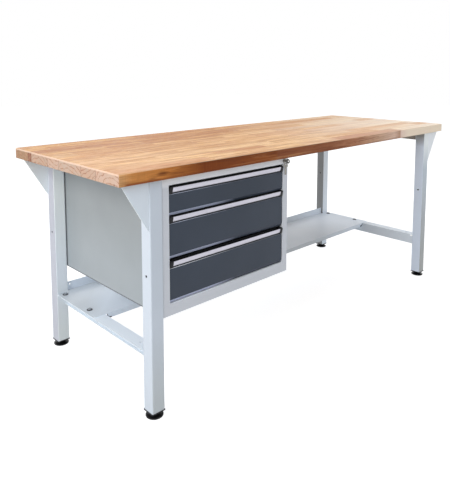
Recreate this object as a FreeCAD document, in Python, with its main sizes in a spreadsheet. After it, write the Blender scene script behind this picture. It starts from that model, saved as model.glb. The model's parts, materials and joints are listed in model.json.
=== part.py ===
"""Jeweller's bench: a laminated worktop on two welded steel end frames, with a hanging three-drawer
cabinet under its left half, a steel shelf across the back and four levelling feet.

Lengths are in millimetres. X runs along the bench to the right as seen from the front, Y from the front
to the back and Z up. The origin is on the floor, below the middle of the worktop.
"""
import FreeCAD, Part
import math
import os
from types import SimpleNamespace

import Sketcher

# Driving dimensions. Every length, height and clearance of the bench is written here once.
SIZES = {
    # worktop
    "top_length": 2100,
    "top_depth": 740,
    "top_thickness": 40,
    "top_edge_radius": 2,
    "bench_height": 840,
    # end frames
    "leg_width": 50,
    "leg_wall": 2,
    "leg_corner_radius": 4,
    "leg_inset_side": 120,
    "leg_inset_front": 15,
    "leg_hole_radius": 4.5,
    "leg_hole_height": 485,
    "top_rail_height": 40,
    "rail_wall": 2.5,
    "lower_rail_height": 50,
    "lower_rail_level": 225,
    "lower_rail_lip": 15,
    "rail_notch_length": 10,
    "rail_notch_height": 6,
    "rail_hole_radius": 4,
    "rail_hole_setback": 50,
    "gusset_reach": 100,
    "gusset_drop": 160,
    "gusset_thickness": 3,
    "gusset_tip": 4,
    # feet
    "foot_standoff": 18,
    "cap_flange": 2,
    "cap_plug_depth": 18,
    "cap_fit": 0.1,
    "stud_radius": 5,
    "stud_length": 60,
    "stud_clearance": 0.05,
    "stud_embed": 6,
    "pad_radius": 30,
    "pad_rim": 7,
    "pad_rim_bevel": 2,
    "pad_shoulder": 10,
    "pad_shoulder_radius": 25,
    "pad_neck_radius": 11,
    "pad_gap": 0.4,
    # shelf
    "shelf_sheet": 1.5,
    "shelf_front": 10,
    "shelf_lip": 20,
    "shelf_lip_inset": 6,
    "shelf_leg_gap": 2,
    "shelf_rear_offset": 13,
    "shelf_upstand": 35,
    "shelf_corner_cut": 8,
    "shelf_end_hole_radius": 3,
    "shelf_end_hole_inset": 12,
    "shelf_bolt_front": 75,
    "shelf_bolt_rear": 25,
    "bolt_hole_radius": 4.25,
    "bolt_shank_radius": 4,
    "bolt_head_radius": 7.5,
    "bolt_head_height": 5.5,
    "bolt_tail": 11,
    "nut_height": 6.5,
    # worktop screws
    "screw_shank_radius": 3,
    "screw_head_radius": 6.5,
    "screw_head_height": 3.5,
    "screw_length": 32,
    "screw_hole_radius": 3.3,
    "pilot_radius": 3.05,
    "pilot_spare_depth": 2,
    "screw_spacing": 200,
    "cabinet_screw_inset_side": 60,
    "cabinet_screw_inset_end": 110,
    # drawer cabinet
    "cabinet_gap": 1,
    "cabinet_recess": 3,
    "cabinet_width": 620,
    "cabinet_height": 465,
    "cabinet_rear_gap": 40,
    "cabinet_sheet": 1.5,
    "stile_width": 27,
    "rail_return": 15,
    "front_rail_top_height": 25,
    "front_rail_bottom_height": 40,
    # drawer fronts
    "front_recess": 2,
    "front_side_gap": 2,
    "front_depth": 16,
    "front_sheet": 1.2,
    "front_bevel_height": 10,
    "front_bevel_depth": 5,
    "front_top_bevel": 1.5,
    "front_height_top": 95,
    "front_height_middle": 142,
    "front_height_bottom": 142,
    "front_gap_top": 7,
    "front_gap_middle": 3,
    "front_gap_bottom": 9,
    # aluminium handle strips and their plastic ends
    "strip_face": 16,
    "strip_mouth": 8,
    "strip_wall": 2,
    "strip_lip_out": 5,
    "strip_top_back": 1,
    "strip_depth": 16,
    "strip_end_width": 13,
    "strip_end_proud": 1.5,
    # drawer trays
    "tray_side_gap": 14,
    "tray_rear_gap": 47.5,
    "tray_sheet": 1.2,
    "tray_lift": 8,
    "tray_height_top": 70,
    "tray_height_middle": 115,
    "tray_height_bottom": 115,
    "tab_height": 12,
    "tab_drop": 3,
    "tab_reach": 10,
    "tab_thickness": 1.5,
    "tab_foot": 12,
    "tab_setback": 25,
    # telescopic slides
    "slide_zone": 13,
    "slide_height": 45,
    "slide_sheet": 1.2,
    "slide_clearance": 0.3,
    "slide_setback": 30,
    "slide_rear_gap": 53.5,
    "slide_lift": 5,
    "slide_fixed_reach": 9,
    "slide_middle_reach": 10.6,
    "upright_width": 30,
    "upright_sheet": 2,
    # central lock
    "lock_offset": 8,
    "lock_body_radius": 8.5,
    "lock_flange_radius": 9.5,
    "lock_flange_proud": 2,
    "lock_body_depth": 16,
    "lock_hole_clearance": 0.05,
    "barrel_radius": 6,
    "barrel_proud": 0.3,
    "barrel_tail": 1.4,
    "keyway_width": 2.4,
    "keyway_height": 8,
    "keyway_depth": 18,
    "cam_thickness": 2,
    "cam_width": 9,
    "cam_end": 4,
    "cam_pin_radius": 2,
    "cam_pin_length": 6.1,
    "bar_travel": 9,
    "bar_thickness": 3,
    "bar_offset": 3,
    "bar_width": 19,
    "bar_setback": 20,
    "bar_slot_clearance": 0.5,
    "bar_bottom_gap": 25,
    "bar_top_gap": 1.5,
    "tooth_reach": 8,
    "tooth_root": 3,
    "tooth_height": 15,
    "tooth_gap": 2,
    "guide_height": 15,
    "guide_wall": 2,
    "guide_clearance": 0.3,
    "guide_level_low": 60,
    "guide_level_high": 85,
    # keys
    "key_thickness": 2,
    "key_neck_radius": 3,
    "key_neck_length": 6.7,
    "key_bow_radius": 9.5,
    "key_neck_overlap": 1,
    "key_blade_width": 7.5,
    "key_blade_length": 16,
    "key_hole_radius": 3,
    "ring_radius": 8,
    "ring_wire_radius": 0.7,
    "ring_clearance": 0.3,
    "ring_setout": 4.2,
    "spare_bow_radius": 9,
    "spare_bow_drop": 4,
    "spare_hole_radius": 3.5,
    "spare_hole_clearance": 0.8,
    "spare_blade_length": 28,
    "spare_blade_width": 7,
    "spare_blade_overlap": 2,
    "spare_thickness": 1.5,
    "spare_turn": 55,
}

SPACE = 2  # how far a cutting tool runs past the face that it cuts, so that no skin is left

document = FreeCAD.newDocument("JewellersBench")
sheet = document.addObject("Spreadsheet::Sheet", "Sizes")
for row, (alias, number) in enumerate(SIZES.items(), 1):
    sheet.set(f"A{row}", alias.replace("_", " "))
    sheet.set(f"B{row}", str(number))
    sheet.setAlias(f"B{row}", alias)
document.recompute()


class Size:
    """A length that keeps its value together with the spreadsheet expression it is worked out from."""

    def __init__(self, text, value):
        self.text = text
        self.value = float(value)

    def __add__(self, other):
        other = as_size(other)
        return Size(f"({self.text} + {other.text})", self.value + other.value)

    def __sub__(self, other):
        other = as_size(other)
        return Size(f"({self.text} - {other.text})", self.value - other.value)

    def __mul__(self, other):
        other = as_size(other)
        return Size(f"({self.text} * {other.text})", self.value * other.value)

    def __truediv__(self, other):
        other = as_size(other)
        return Size(f"({self.text} / {other.text})", self.value / other.value)

    def __neg__(self):
        return Size(f"(0 - {self.text})", -self.value)

    def __radd__(self, other):
        return as_size(other) + self

    def __rsub__(self, other):
        return as_size(other) - self

    def __rmul__(self, other):
        return as_size(other) * self


def as_size(number):
    """A Size as it is, or a plain number made into one."""
    return number if isinstance(number, Size) else Size(f"({number})", number)


s = SimpleNamespace(**{alias: Size(f"Sizes.{alias}", sheet.get(alias)) for alias in SIZES})
CENTRE = as_size(0)

# Places that several pieces share, all worked out from the driving dimensions.
top_under = s.bench_height - s.top_thickness
leg_outer = s.top_length / 2 - s.leg_inset_side
leg_inner = leg_outer - s.leg_width
leg_back = s.top_depth / 2 - s.leg_inset_front
leg_front = -leg_back
leg_bottom = s.foot_standoff + s.cap_flange
leg_centre_x = leg_outer - s.leg_width / 2
leg_centre_y = leg_back - s.leg_width / 2
rail_end = leg_back - s.leg_width
shelf_top = s.lower_rail_level + s.shelf_sheet
shelf_back = rail_end + s.shelf_rear_offset

cabinet_left = s.cabinet_gap - leg_inner
cabinet_right = cabinet_left + s.cabinet_width
cabinet_front = leg_front + s.cabinet_recess
cabinet_back = leg_back - s.cabinet_rear_gap
cabinet_bottom = top_under - s.cabinet_height
panel_front = cabinet_front + s.cabinet_sheet
panel_back = cabinet_back - s.cabinet_sheet
opening_left = cabinet_left + s.stile_width
opening_right = cabinet_right - s.stile_width
opening_top = top_under - s.front_rail_top_height
opening_bottom = cabinet_bottom + s.front_rail_bottom_height

front_plane = cabinet_front + s.front_recess
front_back = front_plane + s.front_depth
front_left = opening_left + s.front_side_gap
front_right = opening_right - s.front_side_gap
tray_left = opening_left + s.tray_side_gap
tray_right = opening_right - s.tray_side_gap
tray_back = panel_back - s.tray_rear_gap
slide_front = front_plane + s.slide_setback
slide_back = panel_back - s.slide_rear_gap
# the slide's outer face, on each side of the opening
slide_left = tray_left - s.slide_zone
slide_right = tray_right + s.slide_zone

lock_x = opening_right + s.lock_offset
lock_z = top_under - s.front_rail_top_height / 2
bar_front = front_plane + s.bar_setback
bar_back = bar_front + s.bar_thickness
bar_left = opening_right + s.bar_offset
bar_right = bar_left + s.bar_width
tab_front = front_plane + s.tab_setback
# the cam's pin turns from 45 degrees above to 45 degrees below the level of the lock's centre
cam_reach = s.bar_travel / math.sqrt(2)
pin_shift = s.bar_travel / 2
pin_rest_z = lock_z + pin_shift


def drawer_levels():
    """The three drawers from the top down: name, top of the front, bottom of the front, tray height."""
    levels = []
    level = opening_top
    for name in ("top", "middle", "bottom"):
        top = level - getattr(s, "front_gap_" + name)
        level = top - getattr(s, "front_height_" + name)
        levels.append((name, top, level, getattr(s, "tray_height_" + name)))
    return levels


DRAWERS = drawer_levels()


# ---------------------------------------------------------------------------------------------------
# Helpers

def bind(thing, name, amount):
    """Ties one property of an object to the spreadsheet."""
    thing.setExpression(name, as_size(amount).text)


def place(thing, x=0, y=0, z=0):
    """Ties the position of an object to the spreadsheet."""
    for axis, amount in zip("xyz", (x, y, z)):
        bind(thing, f"Placement.Base.{axis}", amount)
    return thing


def in_order(first, second):
    """Two places as a (low, high) pair."""
    return (first, second) if first.value < second.value else (second, first)


def box(name, x, y, z):
    """A block; x, y and z are each a (low, high) pair."""
    block = document.addObject("Part::Box", name)
    for side, (low, high) in zip(("Length", "Width", "Height"), (x, y, z)):
        bind(block, side, high - low)
    return place(block, x[0], y[0], z[0])


TURN_TO = {
    "X": FreeCAD.Rotation(FreeCAD.Vector(0, 1, 0), 90),
    "Y": FreeCAD.Rotation(FreeCAD.Vector(1, 0, 0), -90),
    "Z": FreeCAD.Rotation(),
}


def rod(name, axis, centre, radius, span):
    """A cylinder along an axis; centre holds its places on the other two axes, in X, Y, Z order."""
    cylinder = document.addObject("Part::Cylinder", name)
    bind(cylinder, "Radius", radius)
    bind(cylinder, "Height", span[1] - span[0])
    cylinder.Placement = FreeCAD.Placement(FreeCAD.Vector(), TURN_TO[axis])
    base = list(centre)
    base.insert("XYZ".index(axis), span[0])
    return place(cylinder, *base)


def joined(kind, name, pieces):
    """One object from several: a Part::MultiFuse or, for separate solids, a Part::Compound."""
    if len(pieces) == 1:
        return pieces[0]
    result = document.addObject(kind, name)
    setattr(result, "Shapes" if kind == "Part::MultiFuse" else "Links", pieces)
    return result


def fuse(name, pieces):
    return joined("Part::MultiFuse", name, pieces)


def group(name, pieces):
    return joined("Part::Compound", name, pieces)


def cut(name, base, tools):
    """base less all the tools."""
    result = document.addObject("Part::Cut", name)
    result.Base = base
    result.Tool = group(name + "_tools", tools)
    return result


def new_body(name):
    return document.addObject("PartDesign::Body", name)


# the sign that takes a place along the plane's own axis to an offset along its normal
PLANE_NORMAL = {"XY": 1, "XZ": -1, "YZ": 1}


def sketch_on(body, plane, level, name):
    """A sketch on one of the body's own origin planes, moved along the third axis to a level."""
    sketch = body.newObject("Sketcher::SketchObject", name)
    features = body.Origin.OriginFeatures
    sketch.AttachmentSupport = (next(f for f in features if f.Role == plane + "_Plane"), [""])
    sketch.MapMode = "FlatFace"
    bind(sketch, "AttachmentOffset.Base.z", level if PLANE_NORMAL[plane] > 0 else -level)
    return sketch


def polygon(sketch, points):
    """A closed outline with every corner tied to the spreadsheet; a point is a pair of sizes."""
    first = sketch.GeometryCount
    count = len(points)
    points = [(as_size(across), as_size(up)) for across, up in points]
    corners = [FreeCAD.Vector(across.value, up.value, 0) for across, up in points]
    for k in range(count):
        sketch.addGeometry(Part.LineSegment(corners[k], corners[(k + 1) % count]))
    for k in range(count):
        sketch.addConstraint(Sketcher.Constraint("Coincident", first + k, 2, first + (k + 1) % count, 1))
    for k, pair in enumerate(points):
        for kind, amount in zip(("DistanceX", "DistanceY"), pair):
            index = sketch.addConstraint(Sketcher.Constraint(kind, first + k, 1, amount.value))
            sketch.setExpression(f"Constraints[{index}]", amount.text)


def circle(sketch, centre, radius):
    """A circle with its centre and radius tied to the spreadsheet."""
    across, up = as_size(centre[0]), as_size(centre[1])
    at = FreeCAD.Vector(across.value, up.value, 0)
    index = sketch.addGeometry(Part.Circle(at, FreeCAD.Vector(0, 0, 1), radius.value))
    for kind, amount in (("DistanceX", across), ("DistanceY", up)):
        constraint = sketch.addConstraint(Sketcher.Constraint(kind, index, 3, amount.value))
        sketch.setExpression(f"Constraints[{constraint}]", amount.text)
    constraint = sketch.addConstraint(Sketcher.Constraint("Radius", index, radius.value))
    sketch.setExpression(f"Constraints[{constraint}]", radius.text)


def rectangle(low, high):
    """The corners of a rectangle from its lowest and highest corner."""
    return [low, (high[0], low[1]), high, (low[0], high[1])]


def draw(sketch, loops):
    """Each loop is a list of points, or a (centre, radius) pair for a circle."""
    for loop in loops:
        if len(loop) == 2:
            circle(sketch, *loop)
        else:
            polygon(sketch, loop)


def pad(body, plane, span, loops, name="pad"):
    """Adds material between two levels of a plane's third axis."""
    start = span[0] if PLANE_NORMAL[plane] > 0 else span[1]
    sketch = sketch_on(body, plane, start, body.Name + "_" + name + "_sketch")
    draw(sketch, loops)
    feature = body.newObject("PartDesign::Pad", body.Name + "_" + name)
    feature.Profile = sketch
    bind(feature, "Length", span[1] - span[0])
    return feature


def pocket(body, plane, span, loops, name="pocket"):
    """Takes material away between two levels of a plane's third axis."""
    start = span[1] if PLANE_NORMAL[plane] > 0 else span[0]
    sketch = sketch_on(body, plane, start, body.Name + "_" + name + "_sketch")
    draw(sketch, loops)
    feature = body.newObject("PartDesign::Pocket", body.Name + "_" + name)
    feature.Profile = sketch
    bind(feature, "Length", span[1] - span[0])
    document.recompute()
    previous = feature.BaseFeature.Shape.Volume
    if feature.Shape.Volume > previous - 1e-3:
        raise RuntimeError(f"{feature.Name} takes nothing away")
    return feature


def round_edges(body, radius, wanted):
    """Rounds the edges of a body's tip for which wanted(edge) is true."""
    document.recompute()
    base = body.Tip
    names = [f"Edge{k}" for k, edge in enumerate(base.Shape.Edges, 1) if wanted(edge)]
    fillet = body.newObject("PartDesign::Fillet", body.Name + "_rounding")
    fillet.Base = (base, names)
    bind(fillet, "Radius", radius)
    return fillet


def runs_along(edge, axis):
    """True if an edge is a straight line along an axis."""
    start, end = edge.Vertexes[0].Point, edge.Vertexes[-1].Point
    way = end - start
    return edge.Curve.TypeId == "Part::GeomLine" and abs(way["XYZ".index(axis)]) > 0.999 * way.Length


# ---------------------------------------------------------------------------------------------------
# Worktop and the screws that hold it

def rail_screw_places():
    """Three screws up through each top rail."""
    steps = (-1, 0, 1)
    return [(side * leg_centre_x, step * s.screw_spacing) for side in (-1, 1) for step in steps]


def cabinet_screw_places():
    """Four screws up through the cabinet's top plate."""
    across = (cabinet_left + s.cabinet_screw_inset_side, cabinet_right - s.cabinet_screw_inset_side)
    along = (cabinet_front + s.cabinet_screw_inset_end, cabinet_back - s.cabinet_screw_inset_end)
    return [(x, y) for x in across for y in along]


def worktop():
    body = new_body("worktop")
    half_length, half_depth = s.top_length / 2, s.top_depth / 2
    outline = rectangle((-half_length, -half_depth), (half_length, half_depth))
    pad(body, "XY", (top_under, s.bench_height), [outline])
    round_edges(body, s.top_edge_radius, lambda edge: True)
    depth = s.screw_length + s.pilot_spare_depth
    holes = [(spot, s.pilot_radius) for spot in rail_screw_places() + cabinet_screw_places()]
    pocket(body, "XY", (top_under - SPACE, top_under + depth), holes, "pilot_holes")
    return body


def worktop_screws():
    screws = []
    under_rail = top_under - s.rail_wall
    under_plate = top_under - s.cabinet_sheet
    seats = [(spot, under_rail) for spot in rail_screw_places()]
    seats += [(spot, under_plate) for spot in cabinet_screw_places()]
    for number, (spot, seat) in enumerate(seats, 1):
        levels = (seat - s.screw_head_height, seat)
        head = rod(f"screw_head_{number}", "Z", spot, s.screw_head_radius, levels)
        shank = rod(f"screw_shank_{number}", "Z", spot, s.screw_shank_radius, (seat, seat + s.screw_length))
        screws.append(fuse(f"screw_{number}", [head, shank]))
    return group("worktop_screws", screws)


# ---------------------------------------------------------------------------------------------------
# End frames

def leg(name, side, end):
    """A square tube with one hole through both side walls."""
    body = new_body(name)
    half = s.leg_width / 2
    pad(body, "XY", (leg_bottom, top_under), [rectangle((-half, -half), (half, half))])
    round_edges(body, s.leg_corner_radius, lambda edge: runs_along(edge, "Z"))
    bore = half - s.leg_wall
    through = (leg_bottom - SPACE, top_under + SPACE)
    pocket(body, "XY", through, [rectangle((-bore, -bore), (bore, bore))], "bore")
    hole = ((CENTRE, s.leg_hole_height), s.leg_hole_radius)
    pocket(body, "YZ", (-half - SPACE, half + SPACE), [hole], "hole")
    return place(body, side * leg_centre_x, end * leg_centre_y)


def top_rail(name, side):
    """A channel, open downwards, between the tops of two legs."""
    body = new_body(name)
    half = s.leg_width / 2
    low = top_under - s.top_rail_height
    outline = [
        (-half, low),
        (s.rail_wall - half, low),
        (s.rail_wall - half, top_under - s.rail_wall),
        (half - s.rail_wall, top_under - s.rail_wall),
        (half - s.rail_wall, low),
        (half, low),
        (half, top_under),
        (-half, top_under),
    ]
    pad(body, "XZ", (-rail_end, rail_end), [outline])
    holes = [((CENTRE, step * s.screw_spacing), s.screw_hole_radius) for step in (-1, 0, 1)]
    pocket(body, "XY", (top_under - s.rail_wall - SPACE, top_under + SPACE), holes, "screw_holes")
    return place(body, side * leg_centre_x)


def shelf_bolt_rows():
    """Where the shelf is bolted to the lower rails, front to back."""
    return (s.shelf_front + s.shelf_bolt_front, rail_end - s.shelf_bolt_rear)


def lower_rail(name, side):
    """A folded rail: a flat top as wide as the leg, a web on the inner side and a lip turned back under."""
    body = new_body(name)
    half = s.leg_width / 2
    high = s.lower_rail_level
    low = high - s.lower_rail_height
    # towards the middle of the bench is positive in this outline; side turns it for each frame
    outline = [
        (-half, high),
        (-half, high - s.rail_wall),
        (half - s.rail_wall, high - s.rail_wall),
        (half - s.rail_wall, low + s.rail_wall),
        (half - s.lower_rail_lip, low + s.rail_wall),
        (half - s.lower_rail_lip, low),
        (half, low),
        (half, high),
    ]
    pad(body, "XZ", (-rail_end, rail_end), [[(-side * across, up) for across, up in outline]])
    web = in_order(-side * (half - s.rail_wall - SPACE), -side * (half + SPACE))
    for end, word in ((-1, "front"), (1, "rear")):
        ends = in_order(end * (rail_end - s.rail_notch_length), end * (rail_end + SPACE))
        fold = high - s.rail_wall
        notch = rectangle((ends[0], fold - s.rail_notch_height), (ends[1], fold))
        pocket(body, "YZ", web, [notch], "notch_" + word)
    rows = (s.rail_hole_setback - rail_end,) + shelf_bolt_rows()
    radii = (s.rail_hole_radius, s.bolt_hole_radius, s.bolt_hole_radius)
    holes = [((CENTRE, y), radius) for y, radius in zip(rows, radii)]
    pocket(body, "XY", (high - s.rail_wall - SPACE, high + SPACE), holes, "holes")
    return place(body, side * leg_centre_x)


def gussets(name, side):
    """Two triangular plates, welded where the leg's side turns flat, that carry the overhang."""
    plates = []
    for end, word in ((-1, "front"), (1, "rear")):
        body = new_body(f"{name}_{word}")
        outline = [
            (CENTRE, top_under),
            (s.gusset_reach, top_under),
            (s.gusset_reach, top_under - s.gusset_tip),
            (s.gusset_tip, top_under - s.gusset_drop),
            (CENTRE, top_under - s.gusset_drop),
        ]
        near = leg_back - s.leg_corner_radius
        faces = in_order(end * near, end * (near - s.gusset_thickness))
        pad(body, "XZ", faces, [[(side * across, up) for across, up in outline]])
        plates.append(place(body, side * leg_outer))
    return group(name, plates)


def leg_spots():
    """The four legs: name, side (-1 left, 1 right) and end (-1 front, 1 rear)."""
    sides = ((-1, "left"), (1, "right"))
    ends = ((-1, "front"), (1, "rear"))
    return [(f"{end_word}_{side_word}", side, end) for side, side_word in sides for end, end_word in ends]


def leg_end_caps():
    """A plastic plug with a threaded hole in the foot of each leg."""
    caps = []
    half = s.leg_width / 2
    plug = half - s.leg_wall - s.cap_fit
    for spot, side, end in leg_spots():
        x, y = side * leg_centre_x, end * leg_centre_y
        high = leg_bottom + s.cap_plug_depth
        levels = (s.foot_standoff, leg_bottom)
        flange = box(f"cap_flange_{spot}", (x - half, x + half), (y - half, y + half), levels)
        core = box(f"cap_plug_{spot}", (x - plug, x + plug), (y - plug, y + plug), (leg_bottom, high))
        span = (s.foot_standoff - SPACE, high + SPACE)
        hole = rod(f"cap_hole_{spot}", "Z", (x, y), s.stud_radius + s.stud_clearance, span)
        caps.append(cut(f"cap_{spot}", fuse(f"cap_solid_{spot}", [flange, core]), [hole]))
    return group("leg_end_caps", caps)


def foot_pad(name, side, end):
    """A round pad with a sloping shoulder, turned about its own axis, with a socket for the stud."""
    body = new_body(name)
    sketch = sketch_on(body, "XZ", CENTRE, name + "_profile")
    socket = s.stud_radius + s.stud_clearance
    top = s.foot_standoff - s.pad_gap
    points = [
        (CENTRE, CENTRE),
        (s.pad_radius - s.pad_rim_bevel, CENTRE),
        (s.pad_radius, s.pad_rim_bevel),
        (s.pad_radius, s.pad_rim),
        (s.pad_shoulder_radius, s.pad_shoulder),
        (s.pad_neck_radius, s.pad_shoulder + s.pad_rim_bevel),
        (s.pad_neck_radius, top),
        (socket, top),
        (socket, s.stud_embed),
        (CENTRE, s.stud_embed),
    ]
    polygon(sketch, points)
    turned = body.newObject("PartDesign::Revolution", name + "_turned")
    turned.Profile = sketch
    turned.ReferenceAxis = (sketch, ["V_Axis"])
    return place(body, side * leg_centre_x, end * leg_centre_y)


def foot_stud(name, side, end):
    centre = (side * leg_centre_x, end * leg_centre_y)
    return rod(name, "Z", centre, s.stud_radius, (s.stud_embed, s.stud_embed + s.stud_length))


# ---------------------------------------------------------------------------------------------------
# Shelf

def shelf():
    """A steel sheet on the lower rails, with its front edge turned down and its back edge turned up."""
    body = new_body("shelf")
    ends = leg_outer
    between = leg_inner - s.shelf_leg_gap
    front, sheet_thickness = s.shelf_front, s.shelf_sheet
    notch = rail_end - s.shelf_leg_gap
    plate = [
        (s.shelf_corner_cut - ends, front),
        (ends - s.shelf_corner_cut, front),
        (ends, front + s.shelf_corner_cut),
        (ends, notch),
        (between, notch),
        (between, shelf_back),
        (-between, shelf_back),
        (-between, notch),
        (-ends, notch),
        (-ends, front + s.shelf_corner_cut),
    ]
    pad(body, "XY", (s.lower_rail_level, shelf_top), [plate])
    lip_end = leg_inner - s.shelf_lip_inset
    lip = rectangle((-lip_end, shelf_top - s.shelf_lip), (lip_end, shelf_top))
    pad(body, "XZ", (front, front + sheet_thickness), [lip], "lip")
    upstand = rectangle((-between, s.lower_rail_level), (between, shelf_top + s.shelf_upstand))
    pad(body, "XZ", (shelf_back - sheet_thickness, shelf_back), [upstand], "upstand")
    bolts = [((side * leg_centre_x, y), s.bolt_hole_radius) for side in (-1, 1) for y in shelf_bolt_rows()]
    pocket(body, "XY", (s.lower_rail_level - SPACE, shelf_top + SPACE), bolts, "bolt_holes")
    level = shelf_top + s.shelf_upstand - s.shelf_end_hole_inset
    reach = between - s.shelf_end_hole_inset
    holes = [((side * reach, level), s.shelf_end_hole_radius) for side in (-1, 1)]
    pocket(body, "XZ", (shelf_back - sheet_thickness - SPACE, shelf_back + SPACE), holes, "end_holes")
    return body


def hexagon(name, x, y, across_corners, span):
    """A hexagonal prism, for a bolt head or a nut."""
    prism = document.addObject("Part::Prism", name)
    prism.Polygon = 6
    bind(prism, "Circumradius", across_corners)
    bind(prism, "Height", span[1] - span[0])
    return place(prism, x, y, span[0])


def shelf_bolts():
    fixings = []
    under = s.lower_rail_level - s.rail_wall
    number = 0
    for side in (-1, 1):
        for y in shelf_bolt_rows():
            number += 1
            x = side * leg_centre_x
            span = (shelf_top, shelf_top + s.bolt_head_height)
            head = hexagon(f"bolt_head_{number}", x, y, s.bolt_head_radius, span)
            span = (under - s.bolt_tail, shelf_top)
            shank = rod(f"bolt_shank_{number}", "Z", (x, y), s.bolt_shank_radius, span)
            fixings.append(fuse(f"bolt_{number}", [head, shank]))
            nut = hexagon(f"nut_blank_{number}", x, y, s.bolt_head_radius, (under - s.nut_height, under))
            through = (under - s.nut_height - SPACE, under + SPACE)
            bore = s.bolt_shank_radius + s.stud_clearance
            thread = rod(f"nut_thread_{number}", "Z", (x, y), bore, through)
            fixings.append(cut(f"nut_{number}", nut, [thread]))
    return group("shelf_bolts", fixings)


# ---------------------------------------------------------------------------------------------------
# Drawer cabinet

def cabinet_side(name, outer, side):
    faces = in_order(outer, outer - side * s.cabinet_sheet)
    return box(name, faces, (panel_front, cabinet_back), (cabinet_bottom, top_under - s.cabinet_sheet))


def cabinet_inside():
    return (cabinet_left + s.cabinet_sheet, cabinet_right - s.cabinet_sheet)


def cabinet_back_panel():
    span = (cabinet_bottom, top_under - s.cabinet_sheet)
    return box("cabinet_back", cabinet_inside(), (panel_back, cabinet_back), span)


def cabinet_top():
    """The plate that is screwed up against the worktop."""
    levels = (top_under - s.cabinet_sheet, top_under)
    plate = box("cabinet_top_plate", (cabinet_left, cabinet_right), (panel_front, cabinet_back), levels)
    span = (levels[0] - SPACE, levels[1] + SPACE)
    holes = [
        rod(f"cabinet_top_hole_{number}", "Z", spot, s.screw_hole_radius, span)
        for number, spot in enumerate(cabinet_screw_places(), 1)
    ]
    return cut("cabinet_top", plate, holes)


def cabinet_bottom_panel():
    levels = (cabinet_bottom, cabinet_bottom + s.cabinet_sheet)
    return box("cabinet_bottom", cabinet_inside(), (panel_front, panel_back), levels)


def stile(name, outer, side):
    """An upright of the front frame: a folded angle, its return standing at the drawer opening."""
    body = new_body(name)
    edge = outer - side * s.stile_width
    depth = cabinet_front + s.rail_return
    outline = [
        (outer, cabinet_front),
        (edge, cabinet_front),
        (edge, depth),
        (edge + side * s.cabinet_sheet, depth),
        (edge + side * s.cabinet_sheet, panel_front),
        (outer, panel_front),
    ]
    pad(body, "XY", (opening_bottom, opening_top), [outline])
    return body


def front_rail(name, levels, return_levels, holes):
    """A crosspiece of the front frame: a face with a return along the drawer opening."""
    face = box(name + "_face", (cabinet_left, cabinet_right), (cabinet_front, panel_front), levels)
    depth = (panel_front, cabinet_front + s.rail_return)
    fold = box(name + "_return", cabinet_inside(), depth, return_levels)
    if not holes:
        return fuse(name, [face, fold])
    return cut(name, fuse(name + "_solid", [face, fold]), holes)


def front_rail_top():
    span = (cabinet_front - SPACE, panel_front + SPACE)
    hole = rod("lock_hole", "Y", (lock_x, lock_z), s.lock_body_radius + s.lock_hole_clearance, span)
    fold = (opening_top, opening_top + s.cabinet_sheet)
    return front_rail("front_rail_top", (opening_top, top_under), fold, [hole])


def front_rail_bottom():
    fold = (opening_bottom - s.cabinet_sheet, opening_bottom)
    return front_rail("front_rail_bottom", (cabinet_bottom, opening_bottom), fold, [])


def slide_uprights():
    """Four channel posts between the side panels and the slides."""
    posts = []
    levels = (cabinet_bottom + s.cabinet_sheet, top_under - s.cabinet_sheet)
    inside = cabinet_inside()
    rows = {"front": slide_front, "rear": slide_back - s.upright_width}
    sides = (("left", inside[0], slide_left, 1), ("right", inside[1], slide_right, -1))
    for word, wall, face, side in sides:
        for row_word, start in rows.items():
            body = new_body(f"upright_{row_word}_{word}")
            end = start + s.upright_width
            outline = [
                (wall, start),
                (face, start),
                (face, end),
                (wall, end),
                (wall, end - s.upright_sheet),
                (face - side * s.upright_sheet, end - s.upright_sheet),
                (face - side * s.upright_sheet, start + s.upright_sheet),
                (wall, start + s.upright_sheet),
            ]
            pad(body, "XY", levels, [outline])
            posts.append(body)
    return group("slide_uprights", posts)


# ---------------------------------------------------------------------------------------------------
# Telescopic slides

def channel(name, web, tip, wall, levels, span):
    """A channel lying along Y; its web stands at one X place and its flanges reach to another."""
    side = 1 if tip.value > web.value else -1
    outer = in_order(web, tip)
    inner = in_order(web + side * wall, tip + side * SPACE)
    block = box(name + "_block", outer, span, levels)
    hollow_span = (span[0] - SPACE, span[1] + SPACE)
    hollow = box(name + "_hollow", inner, hollow_span, (levels[0] + wall, levels[1] - wall))
    return cut(name, block, [hollow])


def slide_pair(name, bottom, inset, web, tip):
    """The left and right members of one kind; web and tip are reaches from the cabinet's side."""
    low = bottom + s.tray_lift + s.slide_lift
    levels = (low + inset, low + s.slide_height - inset)
    span = (slide_front, slide_back)
    pieces = []
    for word, outer, side in (("left", slide_left, 1), ("right", slide_right, -1)):
        faces = (outer + side * web, outer + side * tip)
        pieces.append(channel(f"{name}_{word}", *faces, s.slide_sheet, levels, span))
    return pieces


def fixed_rails():
    pieces = []
    for name, top, bottom, height in DRAWERS:
        pieces += slide_pair("fixed_rail_" + name, bottom, CENTRE, CENTRE, s.slide_fixed_reach)
    return group("fixed_rails", pieces)


def middle_rails(name, bottom):
    """They run inside the fixed rails."""
    step = s.slide_sheet + s.slide_clearance
    pieces = slide_pair("middle_rail_" + name, bottom, step, step, s.slide_middle_reach)
    return group("middle_rails_" + name, pieces)


def drawer_rails(name, bottom):
    """They run inside the middle rails, with their webs on the tray's sides."""
    step = s.slide_sheet + s.slide_clearance
    pieces = slide_pair("drawer_rail_" + name, bottom, step * 2, s.slide_zone, step * 2)
    return group("drawer_rails_" + name, pieces)


# ---------------------------------------------------------------------------------------------------
# Drawers

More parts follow.
